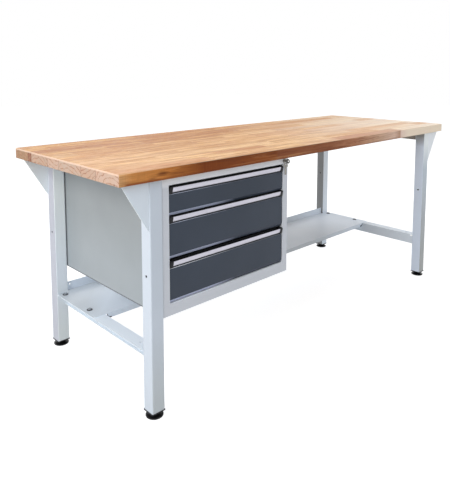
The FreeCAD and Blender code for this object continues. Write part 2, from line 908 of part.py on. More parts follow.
def drawer_tray(name, bottom, height):
    """An open tray, and the folded tab welded to its right side, which the locking bar blocks."""
    low = bottom + s.tray_lift
    high = low + height
    wall = s.tray_sheet
    tray = new_body("tray_" + name)
    pad(tray, "XY", (low, high), [rectangle((tray_left, front_back), (tray_right, tray_back))])
    inner = rectangle((tray_left + wall, front_back + wall), (tray_right - wall, tray_back - wall))
    pocket(tray, "XY", (low + wall, high + SPACE), [inner], "inside")
    tab = new_body("tab_" + name)
    face = tray_right + s.tab_thickness
    tip = tray_right + s.tab_reach
    outline = [
        (tray_right, tab_front),
        (tip, tab_front),
        (tip, tab_front + s.tab_thickness),
        (face, tab_front + s.tab_thickness),
        (face, tab_front + s.tab_foot),
        (tray_right, tab_front + s.tab_foot),
    ]
    pad(tab, "XY", (high - s.tab_drop - s.tab_height, high - s.tab_drop), [outline])
    return group("drawer_tray_" + name, [tray, tab])


def drawer_front(name, top, bottom):
    """A folded front: its lower edge slopes back, its top edge is bevelled and its back is open."""
    body = new_body("drawer_front_" + name)
    high = top - s.strip_face - s.strip_mouth
    outline = [
        (front_plane, bottom + s.front_bevel_height),
        (front_plane + s.front_bevel_depth, bottom),
        (front_back, bottom),
        (front_back, high),
        (front_plane + s.front_top_bevel, high),
        (front_plane, high - s.front_top_bevel),
    ]
    pad(body, "YZ", (front_left, front_right), [outline])
    wall = s.front_sheet
    hollow = [
        (front_plane + wall, bottom + s.front_bevel_height),
        (front_plane + s.front_bevel_depth + wall, bottom + wall),
        (front_back + SPACE, bottom + wall),
        (front_back + SPACE, high - wall),
        (front_plane + s.front_top_bevel + wall, high - wall),
        (front_plane + wall, high - s.front_top_bevel - wall),
    ]
    pocket(body, "YZ", (front_left + wall, front_right - wall), [hollow], "hollow")
    return body


def strip_ends():
    return (front_left + s.strip_end_width, front_right - s.strip_end_width)


def handle_strip(name, top):
    """An aluminium section: a sloping face with a lip, a top and a back, with the finger space behind."""
    body = new_body("handle_strip_" + name)
    wall = s.strip_wall
    back = front_plane + s.strip_depth
    low = top - s.strip_face
    base = low - s.strip_mouth
    outline = [
        (front_plane - s.strip_lip_out, low),
        (front_plane + s.strip_top_back, top),
        (back, top),
        (back, base),
        (back - wall, base),
        (back - wall, top - wall),
        (front_plane + s.strip_top_back + wall, top - wall),
        (front_plane - s.strip_lip_out + wall, low),
    ]
    pad(body, "YZ", strip_ends(), [outline])
    return body


def handle_ends(name, top):
    """The two plastic pieces that close a handle strip."""
    inner = strip_ends()
    back = front_plane + s.strip_depth
    low = top - s.strip_face
    out = front_plane - s.strip_lip_out - s.strip_end_proud
    outline = [
        (out, low),
        (front_plane, top),
        (back, top),
        (back, low - s.strip_mouth),
        (front_plane, low - s.strip_mouth),
        (out, low - s.strip_end_proud),
    ]
    pieces = []
    for word, span in (("left", (front_left, inner[0])), ("right", (inner[1], front_right))):
        body = new_body(f"handle_end_{name}_{word}")
        pad(body, "YZ", span, [outline])
        pieces.append(body)
    return group("handle_ends_" + name, pieces)


# ---------------------------------------------------------------------------------------------------
# Central lock: the key turns the cam, whose pin lowers the locking bar in front of the drawers' tabs

def lock_housing():
    flange = (cabinet_front - s.lock_flange_proud, cabinet_front)
    body = (cabinet_front, cabinet_front + s.lock_body_depth)
    centre = (lock_x, lock_z)
    ring = rod("lock_flange", "Y", centre, s.lock_flange_radius, flange)
    shell = rod("lock_shell", "Y", centre, s.lock_body_radius, body)
    bore_span = (flange[0] - SPACE, body[1] + SPACE)
    bore = rod("lock_bore", "Y", centre, s.barrel_radius + s.lock_hole_clearance, bore_span)
    return cut("lock_housing", fuse("lock_housing_solid", [ring, shell]), [bore])


def barrel_front():
    return cabinet_front - s.lock_flange_proud - s.barrel_proud


def barrel_back():
    return cabinet_front + s.lock_body_depth + s.barrel_tail


def lock_barrel():
    front = barrel_front()
    plug = rod("lock_plug", "Y", (lock_x, lock_z), s.barrel_radius, (front, barrel_back()))
    across, tall = s.keyway_width / 2, s.keyway_height / 2
    span = (front - SPACE, front + s.keyway_depth)
    keyway = box("keyway", (lock_x - across, lock_x + across), span, (lock_z - tall, lock_z + tall))
    return cut("lock_barrel", plug, [keyway])


def lock_cam():
    """An arm on the end of the barrel with a pin that works in the locking bar's slot."""
    body = new_body("lock_cam")
    half = s.cam_width / 2
    front = barrel_back()
    arm = rectangle((-half, -half), (cam_reach + s.cam_end, half))
    pad(body, "XZ", (front, front + s.cam_thickness), [arm])
    pin = ((cam_reach, CENTRE), s.cam_pin_radius)
    pad(body, "XZ", (front + s.cam_thickness, front + s.cam_thickness + s.cam_pin_length), [pin], "pin")
    body.Placement = FreeCAD.Placement(FreeCAD.Vector(), FreeCAD.Rotation(FreeCAD.Vector(0, 1, 0), -45))
    return place(body, lock_x, 0, lock_z)


def tooth_levels():
    """The rest height of the bar's tooth for each drawer, just above that drawer's tab."""
    levels = []
    for name, top, bottom, height in DRAWERS:
        low = bottom + s.tray_lift + height - s.tab_drop + s.tooth_gap
        levels.append((low, low + s.tooth_height))
    return levels


def locking_bar():
    body = new_body("locking_bar")
    low, high = opening_bottom + s.bar_bottom_gap, top_under - s.cabinet_sheet - s.bar_top_gap
    strip = rectangle((bar_left, low), (bar_right, high))
    pad(body, "XZ", (bar_front, bar_back), [strip])
    for number, levels in enumerate(tooth_levels(), 1):
        tooth = rectangle((opening_right - s.tooth_reach, levels[0]), (bar_left + s.tooth_root, levels[1]))
        pad(body, "XZ", (bar_front, bar_back), [tooth], f"tooth_{number}")
    # in the middle of its turn the pin stands out as far as the cam's reach
    reach = s.cam_pin_radius + s.bar_slot_clearance
    low = (lock_x + pin_shift - reach, pin_rest_z - reach)
    high = (lock_x + cam_reach + reach, pin_rest_z + reach)
    pocket(body, "XZ", (bar_front - SPACE, bar_back + SPACE), [rectangle(low, high)], "slot")
    return body


def bar_guides():
    """Two eyes on the front upright that keep the locking bar straight."""
    clips = []
    gap, wall = s.guide_clearance, s.guide_wall
    starts = {"low": opening_bottom + s.guide_level_low, "high": opening_top - s.guide_level_high}
    for word, low in starts.items():
        levels = (low, low + s.guide_height)
        x = (bar_left - gap - wall, bar_right + gap + wall)
        block = box(f"guide_block_{word}", x, (bar_front - gap - wall, slide_front), levels)
        inner = (bar_left - gap, bar_right + gap)
        tall = (levels[0] - SPACE, levels[1] + SPACE)
        eye = box(f"guide_eye_{word}", inner, (bar_front - gap, bar_back + gap), tall)
        clips.append(cut(f"guide_{word}", block, [eye]))
    return group("bar_guides", clips)


def key():
    """The key in the lock, with a round neck between its blade and its bow."""
    front = barrel_front()
    half = s.key_thickness / 2
    neck_end = front - s.key_neck_length
    bow_y = neck_end - s.key_bow_radius + s.key_neck_overlap
    disc = rod("key_disc", "X", (bow_y, lock_z), s.key_bow_radius, (lock_x - half, lock_x + half))
    eye_span = (lock_x - half - SPACE, lock_x + half + SPACE)
    eye = rod("key_eye", "X", (bow_y - s.key_hole_radius, lock_z), s.key_hole_radius, eye_span)
    neck = rod("key_neck", "Y", (lock_x, lock_z), s.key_neck_radius, (neck_end, front))
    tall = s.key_blade_width / 2
    blade_x = (lock_x - half, lock_x + half)
    blade = box("key_blade", blade_x, (front, front + s.key_blade_length), (lock_z - tall, lock_z + tall))
    return fuse("key", [cut("key_bow", disc, [eye]), neck, blade])


def ring_places():
    """The place of the ring along Y, and the height of its centre: it hangs on the key's neck."""
    drop = s.ring_radius - s.ring_wire_radius - s.key_neck_radius - s.ring_clearance
    return barrel_front() - s.ring_setout, lock_z - drop


def key_ring():
    y, z = ring_places()
    ring = document.addObject("Part::Torus", "key_ring")
    bind(ring, "Radius1", s.ring_radius)
    bind(ring, "Radius2", s.ring_wire_radius)
    ring.Placement = FreeCAD.Placement(FreeCAD.Vector(), TURN_TO["Y"])
    return place(ring, lock_x, y, z)


def spare_key():
    """A second key that hangs from the ring; its own origin is the middle of its eye."""
    half = s.spare_thickness / 2
    span = (-half, half)
    disc = rod("spare_disc", "X", (CENTRE, -s.spare_bow_drop), s.spare_bow_radius, span)
    eye_span = (-half - SPACE, half + SPACE)
    eye = rod("spare_eye", "X", (CENTRE, CENTRE), s.spare_hole_radius, eye_span)
    across = s.spare_blade_width / 2
    shoulder = -s.spare_bow_drop - s.spare_bow_radius
    levels = (shoulder - s.spare_blade_length, shoulder + s.spare_blade_overlap)
    blade = box("spare_blade", span, (-across, across), levels)
    whole = fuse("spare_key", [cut("spare_bow", disc, [eye]), blade])
    turn = FreeCAD.Rotation(FreeCAD.Vector(0, 0, 1), s.spare_turn.value)
    whole.Placement = FreeCAD.Placement(FreeCAD.Vector(), turn)
    y, z = ring_places()
    slack = s.spare_hole_radius - s.ring_wire_radius - s.spare_hole_clearance
    return place(whole, lock_x, y, z - s.ring_radius - slack)


# ---------------------------------------------------------------------------------------------------
# Assembly

def build():
    """Makes every sub-part and returns them in the order in which the bench is put together."""
    parts = [worktop(), worktop_screws()]
    for spot, side, end in leg_spots():
        parts.append(leg("leg_" + spot, side, end))
    for side, word in ((-1, "left"), (1, "right")):
        parts.append(top_rail("top_rail_" + word, side))
        parts.append(lower_rail("lower_rail_" + word, side))
        parts.append(gussets("gussets_" + word, side))
    parts.append(leg_end_caps())
    for spot, side, end in leg_spots():
        parts.append(foot_pad("foot_pad_" + spot, side, end))
        parts.append(foot_stud("foot_stud_" + spot, side, end))
    parts += [shelf(), shelf_bolts()]
    parts.append(cabinet_side("cabinet_side_left", cabinet_left, -1))
    parts.append(cabinet_side("cabinet_side_right", cabinet_right, 1))
    parts += [cabinet_back_panel(), cabinet_top(), cabinet_bottom_panel()]
    parts.append(stile("stile_left", cabinet_left, -1))
    parts.append(stile("stile_right", cabinet_right, 1))
    parts += [front_rail_top(), front_rail_bottom(), slide_uprights(), fixed_rails()]
    for name, top, bottom, height in DRAWERS:
        parts.append(middle_rails(name, bottom))
        parts.append(drawer_rails(name, bottom))
        parts.append(drawer_tray(name, bottom, height))
        parts.append(drawer_front(name, top, bottom))
        parts.append(handle_strip(name, top))
        parts.append(handle_ends(name, top))
    parts += [lock_housing(), lock_barrel(), lock_cam(), locking_bar(), bar_guides()]
    parts += [key(), key_ring(), spare_key()]
    return parts


def check(parts):
    """Stops if any object of the document failed or any sub-part has no sound solid."""
    failed = [thing.Name for thing in document.Objects if {"Invalid", "Error"} & set(thing.State)]
    if failed:
        raise RuntimeError(f"these objects failed: {failed}")
    for part in parts:
        if part.Shape.isNull() or not part.Shape.isValid() or not part.Shape.Solids:
            raise RuntimeError(f"{part.Label} has no valid solid")


def export(parts):
    os.makedirs("parts", exist_ok=True)
    for part in parts:
        part.Shape.exportStep(f"parts/{part.Label}.step")


bench = build()
document.recompute()
check(bench)
export(bench)
print(len(bench), "sub-parts,", sum(len(part.Shape.Solids) for part in bench), "solids")
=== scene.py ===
"""Looks for the jewelers bench: materials, small pieces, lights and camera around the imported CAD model.

Places are metres in the CAD model's frame, and each small outline says which unit it is in.
"""

import json
import math

import bmesh
import bpy
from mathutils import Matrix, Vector


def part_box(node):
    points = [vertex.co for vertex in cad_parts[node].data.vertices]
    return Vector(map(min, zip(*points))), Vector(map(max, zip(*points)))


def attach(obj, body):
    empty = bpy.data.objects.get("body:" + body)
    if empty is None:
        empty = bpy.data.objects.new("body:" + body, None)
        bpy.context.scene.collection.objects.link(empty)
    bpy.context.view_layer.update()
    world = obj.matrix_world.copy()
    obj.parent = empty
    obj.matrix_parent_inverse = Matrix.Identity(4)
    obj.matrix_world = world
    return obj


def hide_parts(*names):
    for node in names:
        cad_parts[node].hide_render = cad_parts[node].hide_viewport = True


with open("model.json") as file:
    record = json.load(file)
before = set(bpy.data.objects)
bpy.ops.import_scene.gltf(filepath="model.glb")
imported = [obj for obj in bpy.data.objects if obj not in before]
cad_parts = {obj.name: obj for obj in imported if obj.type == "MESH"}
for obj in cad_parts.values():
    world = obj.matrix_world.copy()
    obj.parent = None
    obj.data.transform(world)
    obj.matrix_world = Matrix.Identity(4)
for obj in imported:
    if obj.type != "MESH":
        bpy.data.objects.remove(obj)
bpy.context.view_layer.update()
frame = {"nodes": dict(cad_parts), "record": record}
NODES = frame["nodes"]
MM = 0.001
CORNERS = ("front_left", "rear_left", "front_right", "rear_right")
SIDES = ((-1, "left"), (1, "right"))


# ---------------------------------------------------------------- how a material is built


def tone(red, green, blue):
    """A linear colour from 0-255 screen values."""
    parts = [channel / 255 for channel in (red, green, blue)]
    parts = [p / 12.92 if p <= 0.04045 else ((p + 0.055) / 1.055) ** 2.4 for p in parts]
    return (*parts, 1.0)


class Look:
    """A node material, built up from sockets."""

    def __init__(self, name, **settings):
        self.material = bpy.data.materials.new(name)
        self.material.use_nodes = True
        self.tree = self.material.node_tree
        self.tree.nodes.clear()
        out = self.node("ShaderNodeOutputMaterial")
        self.shader = self.node("ShaderNodeBsdfPrincipled", **settings)
        self.tree.links.new(self.shader.outputs[0], out.inputs["Surface"])
        coordinates = self.node("ShaderNodeTexCoord").outputs
        self.place = coordinates["Object"]
        self.x, self.y, self.z = self.node("ShaderNodeSeparateXYZ", Vector=self.place).outputs
        self.normal = self.node("ShaderNodeSeparateXYZ", Vector=coordinates["Normal"]).outputs

    def node(self, kind, attributes=None, **inputs):
        """A new node; an underscore in an input's name stands for a space."""
        made = self.tree.nodes.new(kind)
        for key, value in (attributes or {}).items():
            setattr(made, key, value)
        for key, value in inputs.items():
            self.feed(made.inputs[key.replace("_", " ")], value)
        return made

    def feed(self, socket, value):
        """Links a socket to another one, or gives it a number or colour."""
        if isinstance(value, bpy.types.NodeSocket):
            self.tree.links.new(value, socket)
        else:
            socket.default_value = value

    def set(self, **inputs):
        for key, value in inputs.items():
            self.feed(self.shader.inputs[key.replace("_", " ")], value)

    def math(self, operation, first, second=0.0, third=0.0):
        made = self.node("ShaderNodeMath", {"operation": operation})
        for socket, value in zip(made.inputs, (first, second, third)):
            self.feed(socket, value)
        return made.outputs[0]

    def times(self, first, *others):
        """The product of sockets or numbers."""
        for other in others:
            first = self.math("MULTIPLY", first, other)
        return first

    def vector(self, x=0.0, y=0.0, z=0.0):
        return self.node("ShaderNodeCombineXYZ", X=x, Y=y, Z=z).outputs[0]

    def vector_math(self, operation, output, *vectors):
        made = self.node("ShaderNodeVectorMath", {"operation": operation})
        for socket, value in zip(made.inputs, vectors):
            self.feed(socket, value)
        return made.outputs[output]

    def stretch(self, x, y, z, move=(0.0, 0.0, 0.0), vector=None):
        """The place, or another vector, scaled along each axis and moved."""
        made = self.node("ShaderNodeMapping", Vector=vector or self.place)
        made.inputs["Location"].default_value = move
        made.inputs["Scale"].default_value = (x, y, z)
        return made.outputs[0]

    def noise(self, vector, scale=1.0, detail=3.0, rough=0.5, twist=0.0):
        made = self.node("ShaderNodeTexNoise", Vector=vector, Scale=scale, Detail=detail, Roughness=rough)
        made.inputs["Distortion"].default_value = twist
        return made.outputs["Fac"]

    def chance(self, vector):
        """An even random number for each place of the vector."""
        made = self.node("ShaderNodeTexWhiteNoise", {"noise_dimensions": "3D"}, Vector=vector)
        return made.outputs["Value"]

    def span(self, value, low, high, to_low=0.0, to_high=1.0):
        """Maps low..high to to_low..to_high, and holds at both ends."""
        made = self.node("ShaderNodeMapRange", Value=value)
        made.inputs["From Min"].default_value = low
        made.inputs["From Max"].default_value = high
        made.inputs["To Min"].default_value = to_low
        made.inputs["To Max"].default_value = to_high
        return made.outputs[0]

    def ramp(self, value, stops, kind="LINEAR"):
        """Colours by value; stops is a list of (position, colour)."""
        made = self.node("ShaderNodeValToRGB", Fac=value)
        made.color_ramp.interpolation = kind
        dots = made.color_ramp.elements
        while len(dots) < len(stops):
            dots.new(1.0)
        for dot, (position, colour) in zip(dots, stops):
            dot.position = position
            dot.color = colour
        return made.outputs["Color"]

    def blend(self, amount, first, second, kind="MIX"):
        made = self.node("ShaderNodeMix", {"data_type": "RGBA", "blend_type": kind})
        self.feed(made.inputs["Factor"], amount)
        self.feed(made.inputs[6], first)
        self.feed(made.inputs[7], second)
        return made.outputs[2]

    def tinge(self, under, value, low, high, most, colour):
        """Lays a colour over another one as a value goes from low to high, up to a largest share."""
        return self.blend(self.span(value, low, high, 0.0, most), under, colour)

    def bump(self, height, strength, distance, under=None):
        made = self.node("ShaderNodeBump", Height=height, Strength=strength, Distance=distance)
        if under is not None:
            self.feed(made.inputs["Normal"], under)
        return made.outputs[0]


# ---------------------------------------------------------------- the worktop's beech

TOP_LOW, TOP_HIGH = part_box("worktop")
STAVES = 11
FIRST_STAVE_SLACK = 0.0004
PIECE_SHORTEST, PIECE_LONGEST = 0.34, 0.78
FINGER = 0.006
FINGER_SLOPE = 1.6
SEAM_HALF = 0.0009

# the redder piece in the first stave, by x
HEARTWOOD_START, HEARTWOOD_END = 0.08, 0.62

# the knot in the front edge: its middle, and its half-lengths along x and z
KNOT_X, KNOT_Z = -0.888, 0.823
KNOT_LONG, KNOT_HIGH = 0.030, 0.008

# blocks of the end grain: the share of the depth where each starts, its kind, and the y and z of its heart
END_BLOCKS = (
    (0.0, 0.05, -0.33, 0.74),
    (0.176, 0.35, -0.13, 0.92),
    (0.303, 0.6, -0.05, 0.70),
    (0.514, 0.15, 0.02, 0.93),
    (0.626, 0.45, 0.17, 0.74),
    (0.808, 0.97, 0.10, 0.60),
    (0.845, 0.85, 0.33, 0.70),
)
HEART_Y = (-0.4, 0.4)
HEART_Z = (0.6, 1.0)


def staves(look):
    """Glued staves of finger-jointed pieces along X: their colour, fine grain, hair lines and seams."""
    width = (TOP_HIGH.y - TOP_LOW.y) / STAVES
    rows = look.math("DIVIDE", look.math("ADD", look.y, FIRST_STAVE_SLACK - TOP_LOW.y), width)
    row = look.math("MINIMUM", look.math("FLOOR", rows), STAVES - 1.0)
    shift = look.chance(look.vector(row, 1.0))
    length = look.span(look.chance(look.vector(row, 2.0)), 0, 1, PIECE_SHORTEST, PIECE_LONGEST)
    along = look.math("ADD", look.x, look.math("MULTIPLY_ADD", shift, 3.0, 2.0))
    pieces = look.math("DIVIDE", along, length)
    number = look.math("FLOOR", pieces)
    luck = look.chance(look.vector(row, number, 3.0))
    other = look.chance(look.vector(row, number, 9.0))

    # each piece shows its own part of the grain
    offset = look.vector(look.times(luck, 7.0), look.times(other, 5.0), luck)
    own_place = look.vector_math("ADD", "Vector", look.place, offset)

    def grain(along_x, across_x, detail, rough, twist=0.0):
        drawn_out = look.stretch(along_x, across_x, across_x, vector=own_place)
        return look.noise(drawn_out, 1.0, detail, rough, twist)

    broad = grain(2.2, 22, 3, 0.55, 0.6)
    fine = grain(9, 190, 4, 0.65, 0.3)
    hair = grain(26, 900, 2, 0.6)
    flecks = grain(330, 1500, 1, 0.5)
    bands = grain(3.0, 48, 2, 0.5, 0.5)
    lines = grain(5.0, 95, 3, 0.6, 0.8)

    wood = look.ramp(
        luck,
        [
            (0.0, tone(201, 149, 103)),
            (0.14, tone(217, 169, 121)),
            (0.3, tone(231, 189, 141)),
            (0.46, tone(217, 165, 116)),
            (0.62, tone(238, 200, 153)),
            (0.78, tone(223, 173, 127)),
            (0.9, tone(243, 211, 170)),
            (1.0, tone(208, 154, 116)),
        ],
    )
    wood = look.tinge(wood, other, 0.68, 1.0, 0.72, tone(198, 138, 98))
    wood = look.tinge(wood, broad, 0.42, 0.64, 0.66, tone(190, 134, 88))
    wood = look.tinge(wood, bands, 0.54, 0.66, 0.55, tone(186, 128, 78))
    wood = look.tinge(wood, bands, 0.46, 0.34, 0.6, tone(250, 212, 154))
    wood = look.tinge(wood, lines, 0.53, 0.68, 0.7, tone(168, 106, 64))
    wood = look.tinge(wood, lines, 0.46, 0.3, 0.6, tone(250, 218, 172))
    wood = look.tinge(wood, fine, 0.5, 0.78, 0.5, tone(183, 128, 84))
    wood = look.tinge(wood, hair, 0.55, 0.8, 0.3, tone(160, 106, 68))
    wood = look.tinge(wood, flecks, 0.66, 0.74, 0.35, tone(140, 88, 56))

    # the pieces grow paler towards the right end, and greyer towards the left and the back
    pale = look.ramp(
        luck,
        [
            (0.0, tone(206, 162, 128)),
            (0.14, tone(232, 196, 164)),
            (0.28, tone(255, 248, 234)),
            (0.36, tone(255, 246, 230)),
            (0.46, tone(224, 188, 156)),
            (0.56, tone(255, 246, 230)),
            (0.68, tone(255, 250, 238)),
            (0.78, tone(230, 196, 166)),
            (0.88, tone(255, 250, 240)),
            (1.0, tone(206, 162, 130)),
        ],
    )
    wood = look.tinge(wood, look.x, -0.1, 0.9, 0.6, pale)
    greying = look.times(look.span(look.x, 0.3, -0.9), look.span(look.y, -0.3, 0.2))
    wood = look.blend(greying, wood, tone(240, 234, 216), "MULTIPLY")
    wood = look.blend(look.span(look.y, -0.05, 0.3), wood, tone(236, 221, 202), "MULTIPLY")

    red = look.times(
        look.span(look.x, HEARTWOOD_START, HEARTWOOD_START + 0.005),
        look.span(look.x, HEARTWOOD_END, HEARTWOOD_END - 0.02),
        look.span(row, 0.4, 0.6, 0.7, 0.0),
    )
    wood = look.blend(red, wood, tone(190, 134, 104))

    # glue lines between the staves, and the zigzag of the finger joints across them
    in_row = look.math("FRACT", rows)
    edge = look.math("MINIMUM", in_row, look.math("SUBTRACT", 1.0, in_row))
    glue = look.span(edge, 0.004, 0.02, 1.0, 0.0)
    across = look.times(look.math("FRACT", pieces), length)
    teeth = look.math("PINGPONG", look.y, FINGER)
    joint = look.math("SUBTRACT", across, look.math("MULTIPLY_ADD", teeth, FINGER_SLOPE, 0.004))
    joint = look.span(look.math("ABSOLUTE", joint), 0.0003, 0.0011, 1.0, 0.0)
    seams = look.math("MAXIMUM", glue, joint)
    wood = look.blend(look.times(seams, 0.42), wood, tone(150, 98, 60))
    return wood, fine, hair, seams


def front_edge(look, fine):
    """The colour of the front edge: three long pieces, orange to brown, pinkish brown, and cream."""
    at = look.span(look.x, TOP_LOW.x, TOP_HIGH.x)
    front = look.ramp(
        at,
        [
            (0.0, tone(240, 186, 128)),
            (0.022, tone(222, 152, 84)),
            (0.09, tone(202, 126, 58)),
            (0.16, tone(130, 62, 18)),
            (0.335, tone(150, 82, 34)),
            (0.338, tone(140, 80, 48)),
            (0.5, tone(150, 92, 60)),
            (0.59, tone(186, 128, 94)),
            (0.64, tone(208, 160, 128)),
            (0.69, tone(220, 180, 150)),
            (0.755, tone(232, 197, 176)),
            (0.782, tone(202, 158, 130)),
            (0.785, tone(242, 214, 198)),
            (0.82, tone(255, 235, 211)),
            (1.0, tone(255, 236, 210)),
        ],
    )
    broad = look.noise(look.stretch(3.2, 60, 60, (3.0, 0.0, 0.4)), 1.0, 4, 0.6, 1.2)
    knots = look.noise(look.stretch(8.0, 120, 120, (1.0, 0.0, 0.2)), 1.0, 3, 0.6, 1.0)
    ticks = look.noise(look.stretch(420, 3, 14), 1.0, 2, 0.6)

    # the streaks fade out where the wood is pale
    brown = look.times(
        look.span(at, 0.78, 0.79, 1.0, 0.08),
        look.span(at, 0.0, 0.2, 0.6, 1.0),
        look.span(at, 0.55, 0.75, 1.0, 0.45),
    )

    def streaked(under, value, low, high, most, colour):
        return look.blend(look.times(look.span(value, low, high, 0.0, most), brown), under, colour)

    front = streaked(front, broad, 0.46, 0.66, 0.62, tone(112, 56, 28))
    front = streaked(front, broad, 0.44, 0.3, 0.45, tone(206, 150, 100))
    front = streaked(front, knots, 0.56, 0.68, 0.7, tone(108, 50, 24))

    # one dark knot near the left end
    knot_x = look.times(look.math("ADD", look.x, -KNOT_X), 1 / KNOT_LONG)
    knot_z = look.times(look.math("ADD", look.z, -KNOT_Z), 1 / KNOT_HIGH)
    knot = look.math("ADD", look.math("POWER", knot_x, 2.0), look.math("POWER", knot_z, 2.0))
    knot = look.math("ADD", look.math("SQRT", knot), look.span(broad, 0.3, 0.7, 0.35, -0.35))
    front = look.blend(look.span(knot, 0.35, 1.0, 0.78, 0.0), front, tone(104, 54, 22))

    # dark lines low at the left corner and along the lower edge, and a dark band high on the brown piece
    corner_line = look.times(
        look.span(look.z, TOP_LOW.z + 4 * MM, TOP_LOW.z + 10 * MM, 1.0, 0.0),
        look.times(look.span(at, 0.008, 0.014), look.span(at, 0.075, 0.055)),
    )
    front = look.blend(look.times(corner_line, 0.85), front, tone(140, 62, 28))
    low_line = look.times(
        look.span(look.z, TOP_LOW.z + 1 * MM, TOP_LOW.z + 11 * MM, 1.0, 0.0),
        look.span(broad, 0.3, 0.6, 0.3, 0.9),
    )
    front = look.blend(look.times(low_line, brown), front, tone(120, 62, 34))
    high_band = look.times(
        look.span(look.z, TOP_HIGH.z - 18 * MM, TOP_HIGH.z - 4 * MM),
        look.times(look.span(at, 0.1, 0.16), look.span(at, 0.34, 0.33)),
    )
    front = look.blend(look.times(high_band, 0.5), front, tone(96, 44, 14))

    marks = look.times(look.span(ticks, 0.5, 0.75, 0.0, 0.4), look.span(at, 0.1, 0.3, 0.7, 0.15))
    front = look.blend(marks, front, tone(164, 100, 50))
    return streaked(front, fine, 0.5, 0.8, 0.4, tone(104, 54, 30))


def end_grain(look):
    """The colour of the two ends: each block has its own tone, and its rings run about its own heart."""

    def scaled(value, low, high):
        return (value - low) / (high - low)

    def blocks(shift):
        """The channels of a colour that holds a block's kind and the y and z of its heart."""
        stops = [
            (start, (kind, scaled(y, *HEART_Y), scaled(z, *HEART_Z), 1))
            for start, kind, y, z in END_BLOCKS
        ]
        place = look.span(look.math("ADD", look.y, shift), TOP_LOW.y, TOP_HIGH.y)
        return look.node("ShaderNodeSeparateColor", Color=look.ramp(place, stops, "CONSTANT")).outputs

    kind, heart_y, heart_z = blocks(0.0)
    end = look.ramp(
        kind,
        [
            (0.0, tone(204, 178, 160)),
            (0.3, tone(197, 169, 149)),
            (0.45, tone(188, 162, 142)),
            (0.6, tone(193, 172, 155)),
            (0.8, tone(157, 127, 98)),
            (0.9, tone(157, 127, 98)),
            (0.94, tone(100, 44, 20)),
            (1.0, tone(100, 44, 20)),
        ],
    )
    off_y = look.math("SUBTRACT", look.y, look.span(heart_y, 0, 1, *HEART_Y))
    off_z = look.math("SUBTRACT", look.z, look.span(heart_z, 0, 1, *HEART_Z))
    reach = look.vector_math("LENGTH", "Value", look.vector(off_y, off_z))
    wobble = look.noise(look.stretch(0.0, 26.0, 26.0), 1.0, 3, 0.6)
    wide_rings = look.math("SINE", look.math("MULTIPLY_ADD", reach, 400.0, look.times(wobble, 12.0)))
    close_rings = look.math("SINE", look.math("MULTIPLY_ADD", reach, 1500.0, look.times(wobble, 30.0)))
    pores = look.noise(look.place, 900.0, 2, 0.6)
    cloud = look.noise(look.place, 42.0, 4, 0.65)
    end = look.tinge(end, cloud, 0.42, 0.68, 0.55, tone(204, 160, 132))
    end = look.tinge(end, close_rings, 0.2, 1.0, 0.22, tone(178, 130, 104))
    uneven = look.span(cloud, 0.3, 0.6, 0.3, 0.9)
    end = look.blend(look.times(look.span(wide_rings, 0.74, 1.0), uneven), end, tone(156, 104, 80))
    end = look.tinge(end, pores, 0.56, 0.7, 0.45, tone(160, 112, 88))

    # dark spots along the lower edge, and the glue lines between the blocks
    spots = look.noise(look.stretch(1, 30, 70, (0, 0.13, 0.0)), 1.0, 1, 0.5)
    low = look.span(look.z, TOP_LOW.z, TOP_LOW.z + 10 * MM, 1.0, 0.0)
    end = look.blend(look.times(look.span(spots, 0.62, 0.68), low), end, tone(92, 50, 40))
    border = look.math("SUBTRACT", blocks(SEAM_HALF)[0], blocks(-SEAM_HALF)[0])
    return look.tinge(end, look.math("ABSOLUTE", border), 0.0, 0.01, 0.85, tone(124, 74, 56))


def beech():
    """Oiled beech: glued staves, with looks of their own for the front edge and the two ends."""
    look = Look("beech", Roughness=0.5, IOR=1.47, Specular_IOR_Level=0.14)
    wood, fine, hair, seams = staves(look)
    is_front = look.span(look.times(look.normal[1], -1.0), 0.6, 0.8)
    is_end = look.span(look.math("ABSOLUTE", look.normal[0]), 0.6, 0.8)
    wood = look.blend(is_front, wood, front_edge(look, fine))
    wood = look.blend(is_end, wood, end_grain(look))

    # the upper edges are paler
    depth = look.math("SUBTRACT", TOP_HIGH.z, look.z)
    rim = look.times(look.span(depth, 0.0, 3 * MM, 0.75, 0.0), is_front)
    wood = look.blend(rim, wood, tone(250, 222, 188))
    rim = look.times(look.span(depth, 4 * MM, 7.5 * MM, 0.8, 0.0), is_end)
    wood = look.blend(rim, wood, tone(238, 208, 184))

    look.set(Base_Color=wood, Roughness=look.span(look.noise(look.place, 60.0, 3), 0.3, 0.7, 0.42, 0.58))
    deep = look.bump(look.math("SUBTRACT", fine, look.times(seams, 1.4)), 0.35, 0.0004)
    look.set(Normal=look.bump(hair, 0.25, 0.0002, deep))
    return look.material


# ---------------------------------------------------------------- paint, metal and plastic

# faces that a fade acts on: their axis and its sign
LEFT = (0, -1)
FRONT_SIDE = (1, -1)
UP = (2, 1)

# weights of x, y, z and |x| that a fade runs along
ALONG_X = (1, 0, 0, 0)
ALONG_Y = (0, 1, 0, 0)
ALONG_Z = (0, 0, 1, 0)
OUTWARD = (0, 0, 0, 1)


def faded(look, coat, fades):
    """A coat with painted shade along some of its faces, multiplied in by a darker tone.

    A fade is (its faces, the weights that it runs along, where it starts and where it is full, its tone).
    """
    places = (look.x, look.y, look.z, look.math("ABSOLUTE", look.x))
    for (axis, sign), weights, start, full, shade in fades:
        faces = look.span(look.times(look.normal[axis], sign), 0.6, 0.8)
        reach = 0.0
        for place, weight in zip(places, weights):
            if weight:
                reach = look.math("MULTIPLY_ADD", place, weight, reach)
        coat = look.blend(look.times(faces, look.span(reach, start, full)), coat, shade, "MULTIPLY")
    return coat


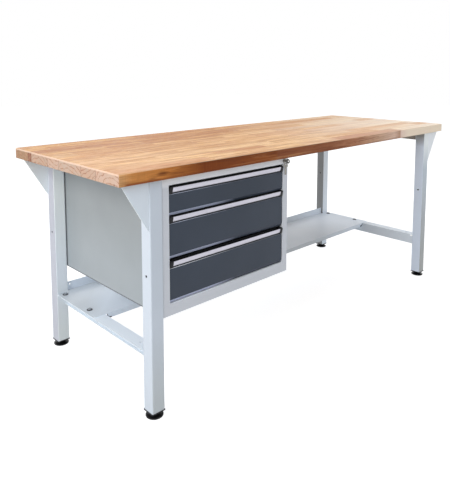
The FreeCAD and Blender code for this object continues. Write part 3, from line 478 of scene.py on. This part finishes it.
def painted_highlight_folds(look, coat):
    """A drawer front's folded edges with painted highlights, strongest towards the left, and brighter on
    the upper fold of the lowest drawer.
    """
    up = look.normal[2]
    uneven = look.noise(look.stretch(6.0, 80.0, 80.0), 1.0, 3, 0.6)
    low_fade = look.span(look.x, -0.66, -0.54, 0.85, 0.0)
    low_fade = look.math("ADD", low_fade, look.span(uneven, 0.3, 0.7, -0.1, 0.1))
    low_fold = look.times(look.span(up, -0.3, -0.4, 0.0, 1.0), look.span(up, -0.7, -0.6, 0.0, 1.0))
    coat = look.blend(look.times(low_fold, low_fade), coat, tone(186, 193, 217))
    high_fade = look.span(look.x, -0.83, -0.55, 0.9, 0.12)
    high_fold = look.times(look.span(up, 0.4, 0.5, 0.0, 1.0), look.span(up, 0.95, 0.85, 0.0, 1.0))
    pale = look.blend(look.span(look.z, 0.52, 0.5), tone(186, 192, 210), tone(244, 246, 252))
    return look.blend(look.times(high_fold, high_fade), coat, pale)


def shaded_rims(look, coat):
    """A side panel with painted shade in the seam at its lower edge, and in the corner behind the leg."""
    low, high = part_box("cabinet_side_left")
    seam = look.span(look.z, low.z + 4.5 * MM, low.z + 3 * MM, 0.0, 0.72)
    corner = look.span(look.y, high.y - 21 * MM, high.y - 11 * MM, 0.0, 0.72)
    return look.blend(look.math("MAXIMUM", seam, corner), coat, tone(44, 48, 58))


def paint(name, colour, dusk, low_wear=True, tint=0.35, rough=0.42, gloss=0.5, marks=None, fades=()):
    """Satin powder coat: an orange-peel skin, faint clouds of tint, rubbed marks and tiny specks."""
    look = Look(name, IOR=1.5, Specular_IOR_Level=gloss)
    cloud = look.noise(look.place, 3.5, 3, 0.55)
    coat = look.tinge(colour, cloud, 0.35, 0.7, tint, dusk)
    speck = look.noise(look.place, 1400.0, 1, 0.5)
    coat = look.tinge(coat, speck, 0.68, 0.75, 0.12, tone(120, 126, 134))
    rubbed = look.span(look.noise(look.stretch(14, 14, 3.0), 1.0, 5, 0.7, 0.5), 0.62, 0.74, 0.0, 0.16)
    if low_wear:
        rubbed = look.times(rubbed, look.span(look.z, 0.02, 0.34, 2.4, 0.5))
    coat = look.blend(rubbed, coat, dusk)
    # painted highlights and shade: a look's own marks, then its fades
    if marks:
        coat = marks(look, coat)
    coat = faded(look, coat, fades)
    haze = look.noise(look.place, 9.0, 3, 0.5)
    look.set(Base_Color=coat, Roughness=look.span(haze, 0.3, 0.7, rough - 0.05, rough + 0.08))
    peel = look.bump(look.noise(look.place, 520.0, 2, 0.5), 0.12, 0.0003)
    look.set(Normal=look.bump(look.noise(look.place, 7.0, 1, 0.5), 0.04, 0.002, peel))
    return look.material


def metal(name, colour, dusk, rough, brush=(6.0, 700.0, 700.0), lines=0.25, metallic=1.0):
    """Brushed or plated metal, its brush lines along the axis with the smallest number."""
    look = Look(name, Metallic=metallic)
    line = look.noise(look.stretch(*brush), 1.0, 3, 0.6)
    cloud = look.noise(look.place, 40.0, 3, 0.6)
    skin = look.tinge(colour, line, 0.35, 0.7, 0.6, dusk)
    skin = look.tinge(skin, cloud, 0.45, 0.75, 0.35, dusk)
    look.set(Base_Color=skin, Roughness=look.span(line, 0.3, 0.7, rough - 0.06, rough + 0.1))
    look.set(Normal=look.bump(line, lines, 0.0001))
    return look.material


def plastic(name, colour, pale, rough=0.45):
    """Moulded plastic with a fine spark-eroded grain and faint scuffs."""
    look = Look(name, IOR=1.49, Specular_IOR_Level=0.3)
    grit = look.noise(look.place, 1100.0, 2, 0.6)
    scuff = look.noise(look.stretch(40, 40, 160), 1.0, 4, 0.7)
    skin = look.tinge(colour, grit, 0.45, 0.75, 0.35, pale)
    skin = look.tinge(skin, scuff, 0.62, 0.75, 0.4, pale)
    look.set(Base_Color=skin, Roughness=look.span(scuff, 0.4, 0.75, rough, rough + 0.2))
    look.set(Normal=look.bump(grit, 0.2, 0.0002))
    return look.material


# ---------------------------------------------------------------- the looks of the bench

BEECH = beech()

# a coat is its colour and the dusk of its clouds and rubbed marks
FRAME_COAT = (tone(207, 215, 225), tone(190, 199, 208))
# a lighter copy of the frame coat for the rails and shelf, as painted light
RAIL_COAT = (tone(234, 243, 252), tone(220, 229, 238))
# painted shade on front faces, darker towards the foot
FOOT_SHADE = (FRONT_SIDE, ALONG_Z, 0.32, 0.06, tone(243, 241, 234))

FRAME = paint("frame_paint", *FRAME_COAT)
# painted shade on the shelf: its top darker except near the right end, more so in the middle at the front
# and at the left rear, and its front faces darker towards the middle
SHELF = paint(
    "shelf_paint", tone(232, 242, 253), tone(218, 228, 239),
    fades=[
        (UP, ALONG_X, 0.78, 0.5, tone(243, 242, 240)),
        (UP, (0, 1.5, 0, 1), 0.95, 0.5, tone(234, 236, 238)),
        (UP, (1, -1, 0, 0), -0.92, -1.04, tone(227, 227, 226)),
        (FRONT_SIDE, OUTWARD, 0.85, 0.4, tone(214, 211, 206)),
    ],
)
INSIDE = paint("inside_paint", tone(206, 211, 218), tone(190, 196, 203), low_wear=False)
RAIL = paint("rail_paint", *RAIL_COAT)
# painted shade on the left faces below the flange
RAIL_LEFT = paint(
    "rail_paint_left", *RAIL_COAT,
    fades=[(LEFT, ALONG_Z, 0.3, 0.24, tone(236, 233, 229))],
)
# painted shadow of the worktop on the upper part of the left faces
TOP_RAIL_RIGHT = paint(
    "top_rail_paint_right", *RAIL_COAT,
    fades=[(LEFT, ALONG_Z, 0.7, 0.75, tone(168, 153, 139))],
)
# gussets painted lighter than the frame as painted light, the front gussets' front faces a little darker as
# painted shade
GUSSET = paint(
    "gusset_paint", tone(244, 252, 255), tone(232, 242, 250), low_wear=False,
    fades=[(FRONT_SIDE, ALONG_Y, 0.1, -0.1, tone(236, 237, 242))],
)
# a still lighter copy for the right gussets, as painted light
GUSSET_RIGHT = paint("gusset_paint_right", tone(248, 252, 255), tone(239, 246, 253), low_wear=False)
# front faces above the drawers keep a lighter tone, as painted light under the worktop's edge
CABINET = paint(
    "cabinet_paint", tone(236, 238, 243), tone(220, 224, 229), low_wear=False,
    fades=[(FRONT_SIDE, ALONG_Z, 0.775, 0.765, tone(228, 229, 231))],
)
# side panels in a darker grey-green, with painted shadow of the worktop high on their outer faces, and
# painted shade along the lower seam and behind the rear leg
PANEL = paint(
    "panel_paint", tone(160, 167, 171), tone(144, 151, 155), low_wear=False, marks=shaded_rims,
    fades=[(LEFT, ALONG_Z, 0.42, 0.62, tone(236, 235, 233))],
)
# the near left leg, with painted shade low on its front face
LEG_FRONT_LEFT = paint("leg_paint_front_left", *FRAME_COAT, fades=[FOOT_SHADE])
# the rear left leg: a lighter copy of the frame coat as painted light, with painted shade on its outer face
# and darker down its front face
LEG_REAR_LEFT = paint(
    "leg_paint_rear_left", tone(248, 255, 255), tone(236, 244, 247),
    fades=[
        FOOT_SHADE,
        (LEFT, ALONG_Y, 0.2, 0.25, tone(192, 189, 199)),
        (FRONT_SIDE, ALONG_Z, 0.66, 0.3, tone(245, 246, 253)),
    ],
)
# the near right leg: a lighter copy of the frame coat as painted light, with painted shade on its inner
# face, deepest high up in the worktop's shadow, and painted shade deepening down its front face
LEG_FRONT_RIGHT = paint(
    "leg_paint_front_right", tone(250, 255, 255), tone(234, 240, 242),
    fades=[
        (LEFT, ALONG_Z, 0.9, 0.85, tone(233, 239, 254)),
        (LEFT, ALONG_Z, 0.725, 0.79, tone(176, 168, 153)),
        (FRONT_SIDE, ALONG_Z, 0.74, 0.6, tone(203, 210, 219)),
        (FRONT_SIDE, ALONG_Z, 0.6, 0.3, tone(226, 220, 215)),
        FOOT_SHADE,
    ],
)
# the rear right leg: a lighter copy of the frame coat as painted light, with painted shade on its inner
# face
LEG_REAR_RIGHT = paint(
    "leg_paint_rear_right", tone(238, 247, 255), tone(226, 236, 246),
    fades=[(LEFT, ALONG_Y, 0.2, 0.25, tone(165, 161, 157))],
)
# drawer fronts, with painted highlights on their folded edges
FRONT = paint(
    "front_paint", tone(52, 61, 75), tone(45, 54, 67),
    low_wear=False, tint=0.8, rough=0.4, gloss=0.3, marks=painted_highlight_folds,
)
ALU = metal("anodised", tone(196, 194, 204), tone(178, 177, 188), 0.34, metallic=0.85)
ZINC = metal("zinc", tone(186, 190, 194), tone(150, 154, 158), 0.34, (120.0, 120.0, 120.0), 0.15)
STEEL_PIN = metal("nickel", tone(150, 147, 142), tone(84, 82, 79), 0.28, (300.0, 300.0, 60.0), 0.12)
BLACK = plastic("black_plastic", tone(14, 14, 18), tone(30, 30, 36), 0.5)
# near-black steel for the leg inserts and the bolt washers, whose black paints the shade in the holes and
# under the bolt heads
DARK = metal(
    "shade_black_steel", tone(26, 28, 32), tone(12, 13, 15), 0.6, (300.0, 300.0, 300.0), 0.2, metallic=0.0,
)
BOLT = metal("bolt_zinc", tone(166, 171, 178), tone(104, 108, 114), 0.3, (200.0, 200.0, 200.0), 0.15)
PAD = plastic("pad_plastic", tone(9, 9, 11), tone(26, 26, 29), 0.3)

# the look of each material slot of the CAD model, and of the nodes that differ from their slot's
SLOT_LOOK = {
    "beech": BEECH,
    "frame_paint": FRAME,
    "cabinet_paint": CABINET,
    "front_paint": FRONT,
    "anodised": ALU,
    "zinc": ZINC,
    "black_plastic": BLACK,
    "pad_plastic": PAD,
    "chrome": STEEL_PIN,
}
NODE_LOOK = {
    "cabinet_side_left": PANEL,
    "cabinet_side_right": PANEL,
    "cabinet_back": INSIDE,
    "drawer_tray_top": INSIDE,
    "drawer_tray_middle": INSIDE,
    "drawer_tray_bottom": INSIDE,
    "gussets_left": GUSSET,
    "gussets_right": GUSSET_RIGHT,
    "leg_front_left": LEG_FRONT_LEFT,
    "leg_rear_left": LEG_REAR_LEFT,
    "leg_front_right": LEG_FRONT_RIGHT,
    "leg_rear_right": LEG_REAR_RIGHT,
    "lower_rail_left": RAIL_LEFT,
    "lower_rail_right": RAIL,
    "top_rail_left": RAIL,
    "top_rail_right": TOP_RAIL_RIGHT,
    "shelf": SHELF,
}

for name, node in NODES.items():
    cad_slot = node.material_slots[0].material.name.split(".")[0]
    for slot in node.material_slots:
        slot.material = NODE_LOOK.get(name, SLOT_LOOK[cad_slot])


# ---------------------------------------------------------------- how a piece is built


def finish_piece(name, mesh, material, body):
    """Turns a bmesh into an object that rides on a body."""
    bmesh.ops.recalc_face_normals(mesh, faces=mesh.faces)
    data = bpy.data.meshes.new(name)
    mesh.to_mesh(data)
    mesh.free()
    for face in data.polygons:
        face.use_smooth = True
    data.set_sharp_from_angle(angle=math.radians(35))
    piece = bpy.data.objects.new(name, data)
    bpy.context.scene.collection.objects.link(piece)
    data.materials.append(material)
    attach(piece, body)
    return piece


def bridge(mesh, one, two):
    """Faces between two rings of vertices."""
    for spot in range(len(one)):
        mesh.faces.new((one[spot - 1], one[spot], two[spot], two[spot - 1]))


def loft(mesh, sections):
    """Skins a run of sections with the same number of points each, and closes its two ends."""
    rings = [[mesh.verts.new(point) for point in section] for section in sections]
    for one, two in zip(rings, rings[1:]):
        bridge(mesh, one, two)
    mesh.faces.new(rings[0])
    mesh.faces.new(rings[-1])


def hoop(mesh, sections):
    """Skins a run of sections that closes on itself."""
    rings = [[mesh.verts.new(point) for point in section] for section in sections]
    for one, two in zip(rings, rings[1:] + rings[:1]):
        bridge(mesh, one, two)


def softened(corners, size, steps=3):
    """An outline with its corners rounded off."""
    points = []
    for index, corner in enumerate(corners):
        here = Vector(corner)
        before = Vector(corners[index - 1]) - here
        after = Vector(corners[(index + 1) % len(corners)]) - here
        start = here + before.normalized() * min(size, before.length * 0.45)
        end = here + after.normalized() * min(size, after.length * 0.45)
        for step in range(steps + 1):
            part = step / steps
            points.append(start * (1 - part) ** 2 + here * 2 * part * (1 - part) + end * part**2)
    return points


def turned(place, z, radius, sides=36):
    """A ring of points; the radius may be a function of the angle."""
    points = []
    for step in range(sides):
        angle = 2 * math.pi * step / sides
        size = radius(angle) if callable(radius) else radius
        points.append((place[0] + size * math.cos(angle), place[1] + size * math.sin(angle), z))
    return points


def hexagon(across, most):
    """The radius of a hexagon at each angle, cut off at a largest radius."""
    return lambda angle: min(across / 2 / math.cos((angle + 1e-6) % (math.pi / 3) - math.pi / 6), most)


def thread(mesh, place, low, high, radius, pitch, depth):
    """A screw thread with chamfered ends."""
    count = max(4, round((high - low) / pitch * 4))
    run = []
    for step in range(count + 1):
        z = low + (high - low) * step / count
        ends = min(step, count - step) * (high - low) / count
        most = radius - max(0.0, depth * 1.6 - ends)

        def wave(angle, z=z, most=most):
            turn = (z / pitch - angle / (2 * math.pi)) % 1.0
            return min(most, radius - depth * abs(2 * turn - 1))

        run.append(turned(place, z, wave, 20))
    loft(mesh, run)


def bead(mesh, start, end, first, second, size):
    """A rippled weld bead in the corner between two faces, which lie along first and second."""
    ripple = 0.9 * MM
    sunk = 0.2 * MM
    start, end, first, second = (Vector(item) for item in (start, end, first, second))
    count = round((end - start).length / ripple)
    run = []
    for step in range(count + 1):
        part = step / count
        here = start.lerp(end, part) - (first + second) * sunk
        wide = size * (0.8 + 0.2 * abs(math.sin(step * 1.05))) * min(1.0, 0.3 + 12 * min(part, 1 - part))
        arc = [first, first * 0.72 + second * 0.3, first * 0.3 + second * 0.72, second]
        run.append([here] + [here + spoke * wide for spoke in arc])
    loft(mesh, run)


# ---------------------------------------------------------------- handle strips of the drawers

# outlines in mm, as (y, z) from the strip's upper edge at the back:
# the strip is a channel open at the top, whose lip leans out and ends above a black rubber seal, which with
# the black lining also paints the shade under the lip and in the channel
LIP = [
    (-16.2, -18.6), (-17.4, -17.2), (-18.7, -14.0), (-19.8, -10.0), (-20.6, -6.0), (-21.0, -3.2),
    (-20.8, -2.4), (-20.2, -2.0), (-19.6, -2.4), (-19.0, -6.0), (-18.1, -10.0), (-16.8, -13.6),
    (-15.0, -16.2), (-13.6, -17.0),
]
STRIP = LIP + [
    (-4.3, -17.0), (-2.5, -15.2), (-2.5, -0.9), (0.0, -0.9), (0.0, -24.0),
    (-10.5, -24.0), (-10.5, -19.2), (-11.0, -18.8), (-15.2, -18.8),
]
SHADE_LINING = [
    (0.0, -0.8), (0.0, 0.0), (-3.0, 0.0), (-3.4, -0.4), (-3.4, -14.8), (-4.7, -16.1), (-13.0, -16.1),
    (-14.3, -15.2), (-16.0, -12.6), (-16.6, -13.0), (-14.8, -15.9), (-13.5, -16.9), (-4.4, -16.9),
    (-2.6, -15.1), (-2.6, -0.8),
]
SHADE_SEAL = [
    (-10.6, -24.0), (-10.6, -18.9), (-15.4, -18.9), (-15.9, -19.6), (-15.9, -21.6), (-15.0, -23.4),
    (-14.4, -24.0),
]
CAP = softened([(0.0, -24.0), (0.0, 0.0), (-21.6, 0.0), (-22.5, -4.0), (-20.8, -12.0), (-17.6, -24.0)], 2.2)

# the rounded rim of an end piece: its depth, then shares of that depth and how large the outline is there;
# the rim next to the strip has only a share of that depth
CAP_RIM = 1.2 * MM
CAP_STEPS = [(0.0, 0.88), (0.25, 0.94), (0.6, 0.975), (1.0, 1.0)]
CAP_INNER_SHARE = 0.3


def grip(drawer):
    """A drawer's aluminium strip, the black lining and seal along it, which also paint the shade in the
    channel and under the lip, and its two end pieces.
    """
    body = "drawer_" + drawer
    low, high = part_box("handle_strip_" + drawer)
    ends_low, ends_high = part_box("handle_ends_" + drawer)

    def section(outline, x, scale=1.0):
        middle = sum((Vector(point) for point in outline), Vector((0, 0))) / len(outline)
        points = [middle + (Vector(point) - middle) * scale for point in outline]
        return [(x, high.y + y * MM, high.z + z * MM) for y, z in points]

    mesh = bmesh.new()
    loft(mesh, [section(STRIP, x) for x in (low.x, high.x)])
    strip = finish_piece("grip_" + drawer, mesh, ALU, body)
    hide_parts("handle_strip_" + drawer)

    mesh = bmesh.new()
    for outline in (SHADE_LINING, SHADE_SEAL):
        loft(mesh, [section(outline, x) for x in (low.x, high.x)])
    finish_piece("grip_seal_" + drawer, mesh, BLACK, body)

    mesh = bmesh.new()
    for outer, inner in ((ends_low.x, low.x), (ends_high.x, high.x)):
        rim = CAP_RIM if inner > outer else -CAP_RIM
        inner_rim = rim * CAP_INNER_SHARE
        run = [section(CAP, outer + rim * far, scale) for far, scale in CAP_STEPS]
        run += [section(CAP, inner - inner_rim * far, scale) for far, scale in reversed(CAP_STEPS[1:])]
        loft(mesh, run)
    caps = finish_piece("grip_ends_" + drawer, mesh, BLACK, body)
    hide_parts("handle_ends_" + drawer)


# ---------------------------------------------------------------- feet

STUD_PITCH = 1.5 * MM
STUD_THREAD = 0.8 * MM

# outline of a domed pad in mm: height and radius
PAD_RINGS = [
    (1.0, 20.0), (1.0, 24.0), (0.0, 25.2), (0.0, 28.4), (0.8, 29.5), (1.8, 30.0), (4.0, 30.0), (5.0, 29.6),
    (5.6, 28.6), (6.2, 26.0), (8.0, 21.0), (10.4, 17.0), (12.8, 14.8), (15.0, 13.8), (17.0, 13.4),
    (17.6, 12.6),
]

# outline of an end cap's rim in mm: how far it stands out from the leg's sides, and its height over the
# leg's foot
RIM_STEPS = [(0.05, -2.1), (0.9, -2.1), (1.4, -1.7), (1.4, 1.4), (1.0, 1.9), (0.05, 1.9)]
RIM_CORNER = 3.0


def stud(corner):
    """The threaded stud of a levelling foot."""
    low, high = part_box("foot_stud_" + corner)
    mesh = bmesh.new()
    thread(mesh, (low + high) / 2, low.z, high.z, (high.x - low.x) / 2, STUD_PITCH, STUD_THREAD)
    piece = finish_piece("thread_" + corner, mesh, ZINC, "foot_" + corner)
    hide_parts("foot_stud_" + corner)


def pad(corner):
    """The domed pad under a stud."""
    low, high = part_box("foot_pad_" + corner)
    mesh = bmesh.new()
    loft(mesh, [turned((low + high) / 2, low.z + rise * MM, radius * MM, 56) for rise, radius in PAD_RINGS])
    piece = finish_piece("pad_" + corner, mesh, PAD, "foot_" + corner)
    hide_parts("foot_pad_" + corner)


def cap_rims(label):
    """Rims of the end caps of one side's legs."""
    mesh = bmesh.new()
    for corner in ("front_", "rear_"):
        low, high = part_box("leg_" + corner + label)
        middle = (low + high) / 2
        rims = []
        for proud, rise in RIM_STEPS:
            half = (high.x - low.x) / 2 / MM + proud
            square = [(-half, -half), (half, -half), (half, half), (-half, half)]
            spots = softened(square, RIM_CORNER)
            rims.append([(middle.x + x * MM, middle.y + y * MM, low.z + rise * MM) for x, y in spots])
        hoop(mesh, list(zip(*rims)))
    finish_piece("cap_rims_" + label, mesh, BLACK, "bench")


# ---------------------------------------------------------------- inserts in the holes of the legs

HOLE_Z = next(m["pos_m"][2] for m in frame["record"]["mounts"] if m["name"] == "leg_hole_front_left")

# outline of an insert in mm: depth under the leg's side, and radius
INSERT_STEPS = [(11.0, 3.0), (1.2, 3.0), (0.5, 3.7), (0.35, 4.2), (0.7, 4.45), (12.0, 4.45)]


def leg_inserts(side, label):
    """Blind threaded inserts in the outer and inner holes of one side's legs, near-black to paint the shade
    deep in the holes.
    """
    low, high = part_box("leg_front_" + label)
    middle = (low + high) / 2
    mesh = bmesh.new()
    for face, inward in ((low.x, 1), (high.x, -1))[::-side]:
        for y in (middle.y, -middle.y):
            run = []
            for depth, radius in INSERT_STEPS:
                ring = turned((y, HOLE_Z), face + inward * depth * MM, radius * MM, 28)
                run.append([(x, across, up) for across, up, x in ring])
            loft(mesh, run)
    finish_piece("leg_inserts_" + label, mesh, DARK, "bench")


# ---------------------------------------------------------------- shelf bolts, washers, and painted shade in the lip's notches

SHELF_SHEET = 1.5 * MM
RAIL_SHEET = 2.5 * MM
NUT_HEIGHT = 6.5 * MM
NUT_HALF_FLATS, NUT_HALF_CORNERS = 6.5 * MM, 7.5 * MM
SHELF_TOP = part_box("lower_rail_left")[1].z + SHELF_SHEET
NUT_TOP = SHELF_TOP - SHELF_SHEET - RAIL_SHEET
NUT_FOOT = NUT_TOP - NUT_HEIGHT
BOLTS_LOW, BOLTS_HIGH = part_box("shelf_bolts")
BOLT_X = BOLTS_HIGH.x - NUT_HALF_CORNERS
BOLT_ROWS = (BOLTS_LOW.y + NUT_HALF_FLATS, BOLTS_HIGH.y - NUT_HALF_FLATS)
BOLT_PLACES = [(x, y) for x in (-BOLT_X, BOLT_X) for y in BOLT_ROWS]

# outlines in m: height over the foot of the head or nut, and radius; 12.6 mm across the flats
FLATS = 12.6 * MM
HEAD = [(0.0, 0.0078), (0.0004, 0.0082), (0.0010, 0.0082), (0.0016, 0.0074)]
HEAD += [(0.0017, hexagon(FLATS, 0.0072)), (0.0046, hexagon(FLATS, 0.0072))]
HEAD += [(0.0055, hexagon(FLATS, 0.0062)), (0.0053, 0.0048)]
NUT = [(0.0, hexagon(FLATS, 0.0062)), (0.0009, hexagon(FLATS, 0.0074)), (0.0048, hexagon(FLATS, 0.0074))]
NUT += [(0.0050, 0.0076), (0.0058, 0.0082), (NUT_HEIGHT, 0.0078)]
WASHER = [
    (0.0, 0.0076), (0.0, 0.0108), (0.0004, 0.0111), (0.0012, 0.0108), (0.0015, 0.0096), (0.0015, 0.0076),
]
THREAD_RADIUS, THREAD_PITCH, THREAD_DEPTH = 4 * MM, 1.25 * MM, 0.7 * MM
SHANK_RADIUS = 3.8 * MM

# the shelf's lip: its face, its upper edge, how far it reaches along x, and the radius of its notches
LIP_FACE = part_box("shelf")[0].y
LIP_TOP = SHELF_TOP - 0.3 * MM
LIP_END = 0.874
NOTCH = 19.6 * MM
# the black band of painted shade in each notch: its width, its thinnest part, and its steps along the notch
NOTCH_SHADE_WIDTH = 1.2 * MM
NOTCH_SHADE_THIN = 1.4 * MM
NOTCH_SHADE_STEPS = 12


def flanged_bolts():
    """Flanged bolts and nuts through the shelf and the lower rails."""
    mesh = bmesh.new()
    for place in BOLT_PLACES:
        loft(mesh, [turned(place, SHELF_TOP + rise, radius) for rise, radius in HEAD])
        loft(mesh, [turned(place, NUT_FOOT + rise, radius) for rise, radius in NUT])
        thread(mesh, place, BOLTS_LOW.z, NUT_FOOT + 1 * MM, THREAD_RADIUS, THREAD_PITCH, THREAD_DEPTH)
        loft(mesh, [turned(place, z, SHANK_RADIUS) for z in (NUT_FOOT + 0.8 * MM, SHELF_TOP + 0.4 * MM)])
    piece = finish_piece("flanged_bolts", mesh, BOLT, "bench")
    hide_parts("shelf_bolts")


def shaded_bolt_washers():
    """Washers round the flanges of the heads, black as painted shade under the heads."""
    mesh = bmesh.new()
    for place in BOLT_PLACES:
        hoop(mesh, list(zip(*(turned(place, SHELF_TOP + rise, radius, 40) for rise, radius in WASHER))))
    finish_piece("shaded_bolt_washers", mesh, DARK, "bench")


def lip_notch_shades():
    """Black bands of painted shade in the rounded notches at the ends of the shelf's lip, thicker towards
    its lower end.
    """
    half = NOTCH_SHADE_WIDTH / 2
    mesh = bmesh.new()
    for side, thicker in ((-1, 3.4 * MM), (1, 7.8 * MM)):
        run = []
        for step in range(NOTCH_SHADE_STEPS + 1):
            part = step / NOTCH_SHADE_STEPS
            angle = -math.pi / 2 * part
            inner = NOTCH - NOTCH_SHADE_THIN - thicker * part**1.5
            points = []
            for radius, y in ((inner, -half), (NOTCH, -half), (NOTCH, half), (inner, half)):
                x = side * (LIP_END - NOTCH + radius * math.cos(angle))
                points.append((x, LIP_FACE + y, LIP_TOP + radius * math.sin(angle)))
            run.append(points)
        loft(mesh, run)
    finish_piece("lip_notch_shades", mesh, BLACK, "bench")


# ---------------------------------------------------------------- welds

WELD = 3.2 * MM
RAIL_WELD = 3.4 * MM
WELD_END_GAP = 6 * MM
RAIL_WELD_END_GAP = 4 * MM
GUSSET_SHEET = 3 * MM


def welds(side, label):
    """Weld beads of one end frame: gussets, top rail and lower rail against the legs."""
    low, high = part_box("leg_front_left")
    outer, inner, face = -side * low.x, -side * high.x, high.y
    gusset_low, gusset_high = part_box("gussets_" + label)
    rail_low, rail_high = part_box("lower_rail_" + label)
    rail_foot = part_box("top_rail_" + label)[0].z
    outward = Vector((side, 0, 0))
    mesh = bmesh.new()
    for row in (-1, 1):
        back = Vector((0, -row, 0))
        plate = row * (gusset_high.y - GUSSET_SHEET)
        ends = (gusset_low.z + WELD_END_GAP, gusset_high.z - WELD_END_GAP)
        bead(mesh, *((outer, plate, z) for z in ends), outward, back, WELD)
        ends = (outer - side * RAIL_WELD_END_GAP, inner + side * RAIL_WELD_END_GAP)
        bead(mesh, *((x, -row * face, rail_foot) for x in ends), back, (0, 0, -1), RAIL_WELD)
        ends = (rail_low.z + WELD_END_GAP, rail_high.z - WELD_END_GAP)
        bead(mesh, *((inner + side * RAIL_SHEET, -row * face, z) for z in ends), outward, back, WELD)
    finish_piece("welds_" + label, mesh, FRAME, "bench")


# ---------------------------------------------------------------- all small pieces

for drawer in ("top", "middle", "bottom"):
    grip(drawer)
for corner in CORNERS:
    stud(corner)
for corner in CORNERS:
    pad(corner)
for side, label in SIDES:
    cap_rims(label)
for side, label in SIDES:
    leg_inserts(side, label)
flanged_bolts()
shaded_bolt_washers()
lip_notch_shades()
for side, label in SIDES:
    welds(side, label)


# ---------------------------------------------------------------- camera, lights, floor

IMAGE_HEIGHT = 500
FOCAL_PIXELS = 544.34
YAW = 0.758925
PITCH = -0.106507
EYE = (-1.908497, -1.729981, 1.155971)

# each lamp: its place, what it points at, its width and height, and its power
LAMPS = {
    "key": ((-4.2, -0.6, 2.4), (0, 0, 0.5), (2.6, 2.0), 124),
    "above": ((0.0, -0.3, 3.6), (0, 0, 0.8), (3.6, 2.4), 16),
    "front": ((1.8, -4.6, 2.6), (0.2, 0, 0.5), (3.0, 2.0), 14),
    "behind": ((0.4, 4.2, 2.9), (0.1, 0, 0.3), (4.0, 1.6), 45),
    "right": ((4.6, -0.4, 1.5), (0, 0, 0.3), (2.0, 1.4), 26),
}

SKY = (0.93, 0.96, 1.0, 1.0)
WHITE = (1.0, 1.0, 1.0, 1.0)
FLOOR_GREY = (0.5, 0.5, 0.5, 1.0)
FLOOR_GLOW = 0.74
FLOOR_HALF = 14.0


def camera():
    """A camera at the photograph's viewing angle."""
    made = bpy.data.objects.new("camera", bpy.data.cameras.new("camera"))
    bpy.context.scene.collection.objects.link(made)
    made.data.lens = FOCAL_PIXELS / IMAGE_HEIGHT * made.data.sensor_width
    made.data.shift_y = -0.25
    made.location = EYE
    made.rotation_euler = (math.pi / 2 + PITCH, 0, -YAW)
    bpy.context.scene.camera = made


def lamp(name, place, target, size, power):
    """A soft rectangular lamp that points at a target."""
    data = bpy.data.lights.new(name, "AREA")
    data.shape = "RECTANGLE"
    data.size, data.size_y = size
    data.energy = power
    made = bpy.data.objects.new(name, data)
    bpy.context.scene.collection.objects.link(made)
    made.location = place
    made.rotation_euler = (Vector(target) - Vector(place)).to_track_quat("-Z", "Y").to_euler()


def lit_and_seen(tree, lit, seen, out):
    """Wires up one shader that lights the object, and another that the camera, gloss and glass see."""
    path = tree.nodes.new("ShaderNodeLightPath")
    is_seen = path.outputs["Is Camera Ray"]
    for other in ("Is Glossy Ray", "Is Transmission Ray"):
        either = tree.nodes.new("ShaderNodeMath")
        either.operation = "MAXIMUM"
        tree.links.new(is_seen, either.inputs[0])
        tree.links.new(path.outputs[other], either.inputs[1])
        is_seen = either.outputs[0]
    pick = tree.nodes.new("ShaderNodeMixShader")
    for socket, source in zip(pick.inputs, (is_seen, lit.outputs[0], seen.outputs[0])):
        tree.links.new(source, socket)
    tree.links.new(pick.outputs[0], out.inputs["Surface"])


def studio():
    """A white world that lights the object softly, and less from the left."""
    world = bpy.data.worlds.new("studio")
    bpy.context.scene.world = world
    world.use_nodes = True
    tree = world.node_tree
    tree.nodes.clear()
    out = tree.nodes.new("ShaderNodeOutputWorld")
    soft = tree.nodes.new("ShaderNodeBackground")
    soft.inputs["Color"].default_value = SKY
    direction = tree.nodes.new("ShaderNodeSeparateXYZ")
    tree.links.new(tree.nodes.new("ShaderNodeTexCoord").outputs["Generated"], direction.inputs[0])
    dimmer = tree.nodes.new("ShaderNodeMapRange")
    tree.links.new(direction.outputs["X"], dimmer.inputs["Value"])
    for key, value in (("From Min", -0.8), ("From Max", -0.1), ("To Min", 0.26), ("To Max", 0.8)):
        dimmer.inputs[key].default_value = value
    tree.links.new(dimmer.outputs[0], soft.inputs["Strength"])
    white = tree.nodes.new("ShaderNodeBackground")
    white.inputs["Color"].default_value = WHITE
    lit_and_seen(tree, soft, white, out)


def floor():
    """A grey floor whose glow makes it look white, with the object's shadow on it."""
    mesh = bmesh.new()
    bmesh.ops.create_grid(mesh, x_segments=8, y_segments=8, size=FLOOR_HALF)
    data = bpy.data.meshes.new("floor")
    mesh.to_mesh(data)
    mesh.free()
    made = bpy.data.objects.new("floor", data)
    bpy.context.scene.collection.objects.link(made)
    material = bpy.data.materials.new("floor")
    material.use_nodes = True
    tree = material.node_tree
    tree.nodes.clear()
    out = tree.nodes.new("ShaderNodeOutputMaterial")
    ground = tree.nodes.new("ShaderNodeBsdfDiffuse")
    ground.inputs["Color"].default_value = FLOOR_GREY
    glow = tree.nodes.new("ShaderNodeEmission")
    glow.inputs["Strength"].default_value = FLOOR_GLOW
    both = tree.nodes.new("ShaderNodeAddShader")
    tree.links.new(ground.outputs[0], both.inputs[0])
    tree.links.new(glow.outputs[0], both.inputs[1])
    lit_and_seen(tree, ground, both, out)
    data.materials.append(material)


camera()
for name, settings in LAMPS.items():
    lamp(name, *settings)
studio()
floor()
bpy.context.scene.view_settings.view_transform = "Standard"
